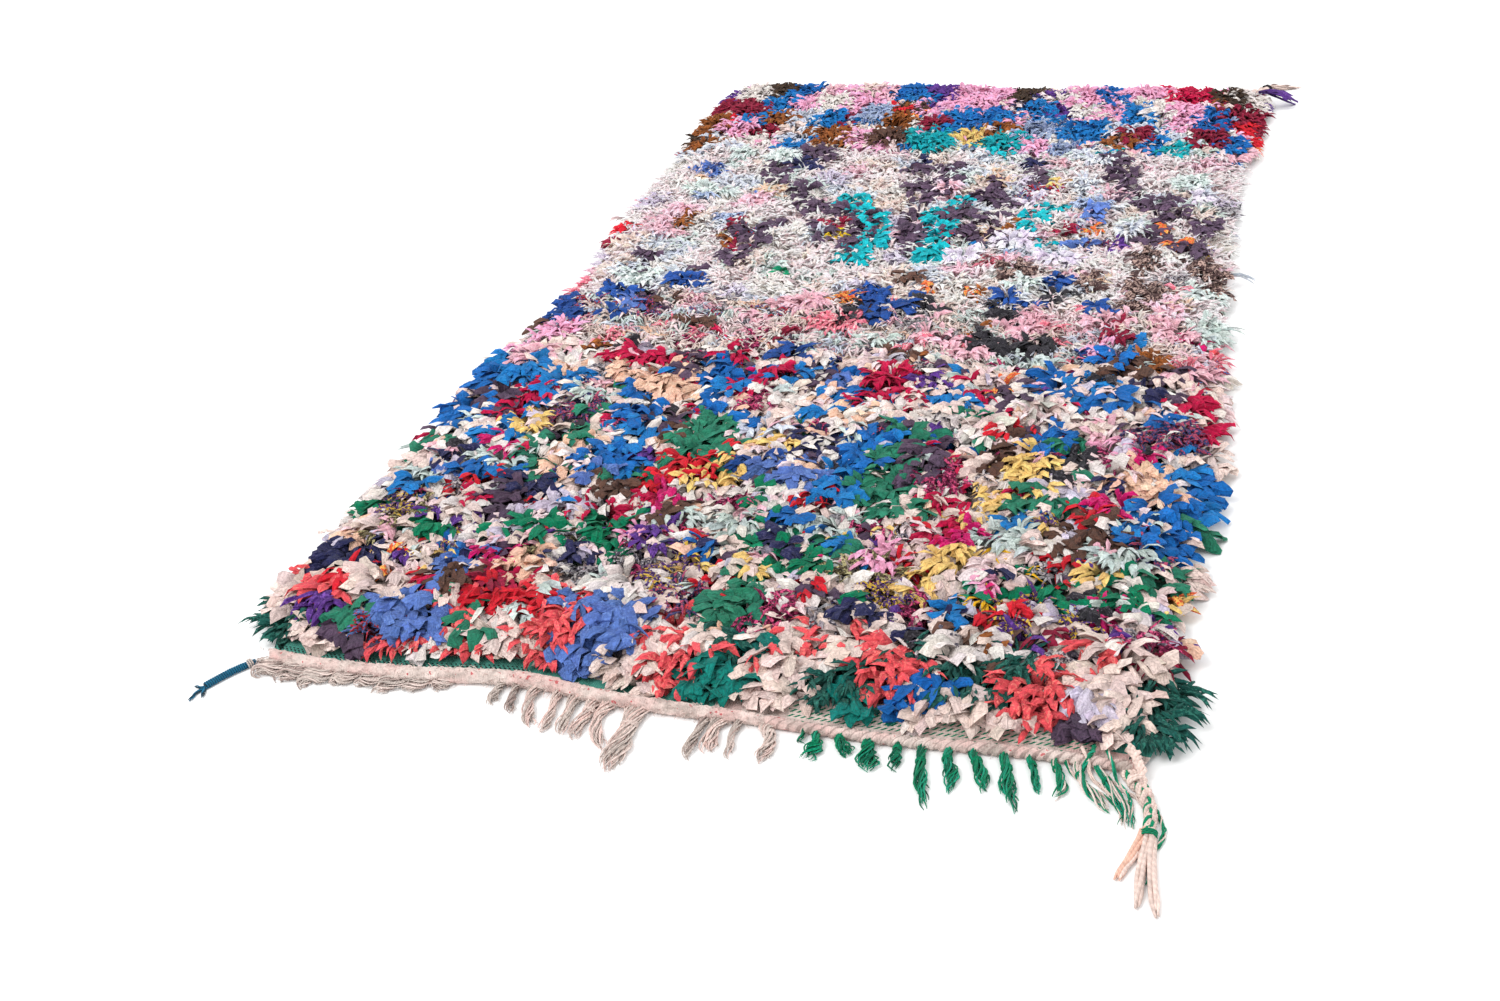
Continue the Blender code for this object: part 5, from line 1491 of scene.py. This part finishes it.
def build_far_tail():
    """The plaited warp ends at the far corner, tied with a dark yarn, with three loose ends."""
    skein = Skein(35)
    plait(skein, FAR_TAIL, ["rag_cream", "wool_pink", "wool_cream"], 0.060, 0.0026, rings=30)
    start = FAR_TAIL[-1]
    t = np.linspace(0, 1, 14)
    widths = np.interp(t, [0, 1], [0.010, 0.006])
    heights = np.interp(t, [0, 1], [0.011, 0.004])
    dyes = ["ash", "rag_cream", "ash"]
    for number, end in enumerate(FAR_ENDS):
        first = [(start.x, start.y - 0.008), (start.x + 0.003 * number, start.y + 0.004)]
        line = smooth_route([*first, *end], 14)
        bundle(skein, line, widths, heights, 7, 0.0015, dyes, 0.0016, 0.25, 1.2)
    skein.wrap((0.622, 1.196, 0.0068), (0.66, 0.75), 0.023, 0.0145, 3.2, 0.0028, 0.0012, "black")
    make_yarn_piece("far_tail_cords", [skein], yarn_finish("far_tail", 600), "far_tail")


def hem_profile(x):
    """The ground's section behind one place of the hem: distance behind the foot and height, once round."""
    rope = float(smooth((x - ROPE_STARTS) / 0.06))
    size = float(between(HEM_ROLL, "x", "share", x))
    angle = np.radians(np.linspace(-62, 168, ROLL_POINTS))
    tight = np.abs(np.cos(math.pi * x / 0.013 - 1.3 * angle)) - 0.6
    loose = np.abs(np.cos(math.pi * x / 0.040 - 2.0 * angle)) - 0.6
    fuzz = np.array([noise.noise(Vector((x / 0.005, 7 * a, 1.7))) for a in angle])
    uneven = 0.08 * noise.noise(Vector((x / 0.06, 3.1, 0)))
    swell = 1 + 0.40 * tight * rope + (0.14 * loose + 0.24 * fuzz) * (1 - rope) + uneven
    depth = size * (ROLL_DEPTH - ROLL_DEPTH * np.cos(angle) * swell)
    height = size * (ROLL_MIDDLE + ROLL_HEIGHT * np.sin(angle) * swell)
    return np.maximum(depth, -0.002), np.maximum(height, 0.0004)


def build_ground():
    """The woven ground: one closed cloth, flat under the pile, with its near end rolled into a hem."""
    columns = GROUND_COLUMNS
    band = np.array(BAND_DEPTHS)
    share = np.linspace(0.02, 1, 7)
    length = ROLL_POINTS + len(band) + 2 * len(share)
    points = np.zeros((columns, length, 3))
    inwards = np.zeros((columns, length))
    for i, u in enumerate(np.linspace(0, 1, columns)):
        x = -GROUND_HALF + 2 * GROUND_HALF * u
        foot = float(hem_foot(x))
        depth, height = hem_profile(x)
        span = FAR_END - WEAVE_INSET - foot - PILE_BEHIND_FOOT
        top_depth = PILE_BEHIND_FOOT + span * share
        ripple = [0.0006 * noise.noise(Vector((x / 0.02, d / 0.02, 0))) for d in band]
        band_depth = np.maximum(band, depth[-1] + 0.0006 * np.arange(1, len(band) + 1))
        depths = np.concatenate([depth, band_depth, top_depth, top_depth[::-1]])
        at_right = float(smooth((x - BAND_RISE_STARTS) / 0.05))
        rise = BAND_RISE * smooth((band - band[0]) / (band[-1] - band[0])) * at_right
        banded = WEAVE_THICK + 0.0004 + np.array(ripple) + rise
        heights = np.concatenate([height, banded, np.full(len(share), WEAVE_THICK), np.zeros(len(share))])
        y = foot + depths
        left, right = side_edges(y, WEAVE_INSET)
        points[i] = np.column_stack([left + u * (right - left), y, heights])
        inwards[i] = np.concatenate([depth + ROLL_END - depth[-1], band, top_depth, -top_depth[::-1]])
    flat = points.reshape(-1, 3)
    i, j = (grid.ravel() for grid in np.meshgrid(np.arange(columns - 1), np.arange(length), indexing="ij"))
    k = (j + 1) % length
    quads = np.stack([i * length + j, i * length + k, (i + 1) * length + k, (i + 1) * length + j], axis=1)
    run = np.concatenate([[0], np.cumsum(np.linalg.norm(np.diff(points[columns // 2], axis=0), axis=1))])
    total = run[-1] + 0.02
    run = np.append(run, total)
    maps = np.stack([
        np.stack([i, i, i + 1, i + 1], axis=1) / (columns - 1) * 0.25,
        np.stack([run[j], run[j + 1], run[j + 1], run[j]], axis=1) / total,
    ], axis=-1)
    data = bpy.data.meshes.new("woven_ground")
    ends = [list(range(length - 1, -1, -1)), [(columns - 1) * length + n for n in range(length)]]
    data.from_pydata(flat.tolist(), [], quads[:, ::-1].tolist() + [row[::-1] for row in ends])
    set_values(data, "inwards", inwards)
    uv = data.uv_layers.new(name="OFBake").data
    caps = [[(0.3 + 0.03 * math.cos(a), 0.3 + 0.2 * e + 0.05 * math.sin(a))
             for a in np.linspace(0, 2 * math.pi, length, endpoint=False)] for e in range(2)]
    places = np.concatenate([maps[:, ::-1].reshape(-1, 2), np.array(caps).reshape(-1, 2)])
    uv.foreach_set("uv", places.astype(np.float32).ravel())
    data.shade_smooth()
    data.set_sharp_from_angle(angle=math.radians(50))
    data.materials.append(ground_finish())
    ground = hand_over(bpy.data.objects.new("woven_ground", data), ["ground_weave"])


def ground_finish():
    """Woven wool: a pale hem with red specks, painted shade in the grooves of its rope, stitched teal at the
    left and green dashes at the right.
    """
    dye = {name: tuple(linear(colour)) for name, colour in GROUND_DYES.items()}
    finish = Finish("woven_wool", 0.93, 0.08)
    place = finish.place()
    inwards = finish.attribute("inwards", "Fac")
    x = finish.add("ShaderNodeSeparateXYZ", {}, {"Vector": place}, "X")
    patchy = finish.speckle(place, 22, 3.0)
    colour = finish.blend((patchy - 0.42) * 4.0, dye["cream"], dye["pink"])
    colour = finish.blend((finish.speckle(place, 34, 4.0) - 0.54) * 7.0, colour, dye["ash"])
    specks = (finish.speckle(place, 150, 0.0) > 0.77) * (inwards < 0.02) * (inwards > 0.0)
    colour = finish.blend(specks * 0.8, colour, dye["red"])
    # Painted shade: darker lines between the strands of the hem's rope at the right
    strand = ((x - inwards * 0.9) / 0.013).fraction()
    painted_grooves = (strand < 0.24) * (x > ROPE_STARTS) * (inwards < ROLL_END) * (inwards > 0)
    colour = finish.blend(painted_grooves * 0.6, colour, dye["painted_groove_shade"])
    rolled = inwards - ROLL_END
    left_band = (rolled > 0) * (rolled < 0.035) * (x < -0.205)
    thin_band = (rolled > 0) * (rolled < 0.024) * (x < 0.06)
    teal_band = finish.maths_of("MAXIMUM", left_band, thin_band)
    colour = finish.blend(teal_band, colour, dye["teal"])
    light_threads = (((x + inwards) / 0.0035).fraction() < 0.45) * ((inwards / 0.0030).fraction() < 0.5)
    colour = finish.blend(light_threads * teal_band * 0.6, colour, dye["sea"])
    slant = ((x + inwards * 0.9) / 0.0065).fraction()
    rows = (inwards / 0.0052).fraction()
    colour = finish.blend((x > 0.548) * (inwards > 0.030), colour, dye["teal"])
    dots = (slant < 0.46) * (rows > 0.30) * left_band * (rolled > 0.006) * (rolled < 0.019)
    colour = finish.blend(dots, colour, dye["ink"])
    dashed = (rolled > 0) * (rolled < 0.026) * (x > 0.155) * (x < 0.53)
    stitch = (((x - inwards * 1.4) / 0.0085).fraction() < 0.46) * ((inwards / 0.0075).fraction() > 0.36)
    colour = finish.blend(stitch * dashed, colour, dye["moss"])
    backs = ((x / 0.0155).fraction() < 0.62) * ((inwards / 0.0160).fraction() < 0.45) * (inwards < 0)
    dyed = finish.blend(finish.speckle(place, 14, 2.0) > 0.55, dye["blue_rag"], dye["red_rag"])
    dyed = finish.blend(finish.speckle(place, 19, 2.0) > 0.48, dyed, dye["cream"])
    colour = finish.blend(backs * 0.8, colour, dyed)
    tone = finish.speckle(place, 130, 3.0) * 0.8 + finish.speckle(place, 800, 1.0) * 0.4 + 0.32
    finish.colour(finish.blend(1.0, colour, tone, "MULTIPLY"))
    ribs = abs((x / 0.0032).fraction() - 0.5) * 2 + abs((inwards / 0.0026).fraction() - 0.5)
    finish.bump(ribs * 0.4 + finish.speckle(place, 420, 2.0) * 1.1, 0.0014, 0.9)
    return finish.material


def add_stage():
    """Pale floor, soft studio light and the camera."""
    stage = bpy.context.scene.rug_stage
    bpy.ops.object.select_all(action="DESELECT")
    bpy.ops.mesh.primitive_plane_add(size=14, location=(0, 0, -0.0004))
    floor = bpy.context.object
    floor.name = "studio_floor"
    finish = Finish("studio_floor", 0.8, 0.0)
    place = finish.place()
    tone = finish.speckle(place, 1.3, 2.0) * 0.01 + 0.99
    finish.colour(finish.blend(1.0, tuple(stage.floor_colour), tone, "MULTIPLY"))
    floor.data.materials.append(finish.material)
    scene = bpy.context.scene
    world = bpy.data.worlds.new("studio")
    world.use_nodes = True
    sky = world.node_tree.nodes["Background"]
    sky.inputs["Color"].default_value = (1, 1, 1, 1)
    sky.inputs["Strength"].default_value = stage.room_light
    scene.world = world
    add_light("key_light", place=(-1.8, -2.6, 3.6), target=(0, 0, 0), size=2.2, power=stage.key_light)
    add_light("back_light", place=(1.6, 3.0, 3.2), target=(0, 0.3, 0), size=2.6, power=stage.back_light)
    view = bpy.data.cameras.new("camera")
    view.lens = CAMERA_LENS
    view.sensor_width = CAMERA_SENSOR
    camera = bpy.data.objects.new("camera", view)
    scene.collection.objects.link(camera)
    heading = Matrix.Rotation(math.radians(CAMERA_HEADING), 4, "Z")
    pitch = Matrix.Rotation(math.radians(CAMERA_PITCH), 4, "X")
    roll = Matrix.Rotation(math.radians(CAMERA_ROLL), 4, "Z")
    camera.matrix_world = Matrix.Translation(CAMERA_PLACE) @ heading @ pitch @ roll
    scene.camera = camera
    scene.view_settings.view_transform = "Standard"


def add_light(name, place, target, size, power):
    """A soft round lamp that points at its target."""
    light = bpy.data.lights.new(name, "AREA")
    light.shape = "DISK"
    light.size = size
    light.energy = power
    lamp = bpy.data.objects.new(name, light)
    bpy.context.scene.collection.objects.link(lamp)
    lamp.location = place
    lamp.rotation_euler = (Vector(target) - Vector(place)).to_track_quat("-Z", "Y").to_euler()


class RugSizes(bpy.types.PropertyGroup):
    """Sizes of the rug's pile and yarns."""
    pile_crown: FloatProperty(
        name="Pile crown", description="Height of the pile over the floor, away from the rim",
        default=0.033, unit="LENGTH",
    )
    lump_height: FloatProperty(
        name="Lump height", description="How much the pile's lumps rise", default=0.022, unit="LENGTH",
    )
    tuft_height: FloatProperty(
        name="Tuft height", description="How far the loose ends stand out of the packed knots",
        default=0.016, unit="LENGTH",
    )


class RugStage(bpy.types.PropertyGroup):
    """Floor and light around the rug."""
    floor_colour: FloatVectorProperty(
        name="Floor", description="Colour of the floor", default=(0.96, 0.96, 0.96), subtype="COLOR",
    )
    room_light: FloatProperty(
        name="Room light", description="Strength of the light from all round", default=1.0,
    )
    key_light: FloatProperty(
        name="Key light", description="Power of the soft light at the left", default=94, unit="POWER",
    )
    back_light: FloatProperty(
        name="Back light", description="Power of the light behind", default=47, unit="POWER",
    )


def dye_property(name, cloth):
    """The colour field of one cloth, set to its dye."""
    label = name.replace("_", " ")
    return FloatVectorProperty(
        name=label.capitalize(), description="Dye of the " + label + " cloth",
        default=[value / 255 for value in cloth.dye], subtype="COLOR_GAMMA", min=0, max=1,
    )


class RugDyes(bpy.types.PropertyGroup):
    """Dye of each cloth."""
    __annotations__ = {name: dye_property(name, cloth) for name, cloth in CLOTHS.items()}


class RUG_OT_bed(bpy.types.Operator):
    """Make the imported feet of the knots"""
    bl_idname = "rug.bed"
    bl_label = "Packed knots"

    def execute(self, context):
        build_bed()
        return {"FINISHED"}


class RUG_OT_pile(bpy.types.Operator):
    """Knot the rag strips of the pile"""
    bl_idname = "rug.pile"
    bl_label = "Rag pile"

    def execute(self, context):
        build_pile()
        return {"FINISHED"}


class RUG_OT_fringes(bpy.types.Operator):
    """Hang the knotted warp ends at the near hem"""
    bl_idname = "rug.fringes"
    bl_label = "Fringes"

    def execute(self, context):
        build_cream_fringe()
        build_green_fringe()
        build_hem_fuzz()
        return {"FINISHED"}


class RUG_OT_tails(bpy.types.Operator):
    """Add the cords at three corners"""
    bl_idname = "rug.tails"
    bl_label = "Corner tails"

    def execute(self, context):
        build_right_tail()
        build_left_tail()
        build_far_tail()
        return {"FINISHED"}


class RUG_OT_ground(bpy.types.Operator):
    """Weave the ground that carries the other pieces"""
    bl_idname = "rug.ground"
    bl_label = "Woven ground"

    def execute(self, context):
        build_ground()
        return {"FINISHED"}


class RUG_OT_stage(bpy.types.Operator):
    """Add the floor, the lights and the camera"""
    bl_idname = "rug.stage"
    bl_label = "Stage"

    def execute(self, context):
        add_stage()
        return {"FINISHED"}


OPERATORS = (RUG_OT_bed, RUG_OT_pile, RUG_OT_fringes, RUG_OT_tails, RUG_OT_ground, RUG_OT_stage)


class RUG_PT_panel(bpy.types.Panel):
    """Lists what makes the rug"""
    bl_label = "Rag rug"
    bl_idname = "RUG_PT_panel"
    bl_space_type = "VIEW_3D"
    bl_region_type = "UI"
    bl_category = "Rag rug"

    def draw(self, context):
        for operator in OPERATORS:
            self.layout.operator(operator.bl_idname)
        for group in (context.scene.rug_sizes, context.scene.rug_dyes, context.scene.rug_stage):
            box = self.layout.box()
            for name in group.__annotations__:
                box.prop(group, name)


CLASSES = (RugSizes, RugDyes, RugStage, *OPERATORS, RUG_PT_panel)


def register():
    for cls in CLASSES:
        bpy.utils.register_class(cls)
    bpy.types.Scene.rug_sizes = PointerProperty(type=RugSizes)
    bpy.types.Scene.rug_dyes = PointerProperty(type=RugDyes)
    bpy.types.Scene.rug_stage = PointerProperty(type=RugStage)


def unregister():
    del bpy.types.Scene.rug_sizes, bpy.types.Scene.rug_dyes, bpy.types.Scene.rug_stage
    for cls in reversed(CLASSES):
        bpy.utils.unregister_class(cls)


def main():
    register()
    bpy.ops.rug.bed()
    bpy.ops.rug.pile()
    bpy.ops.rug.fringes()
    bpy.ops.rug.tails()
    bpy.ops.rug.ground()
    bpy.ops.rug.stage()


if __name__ == "__main__":
    main()
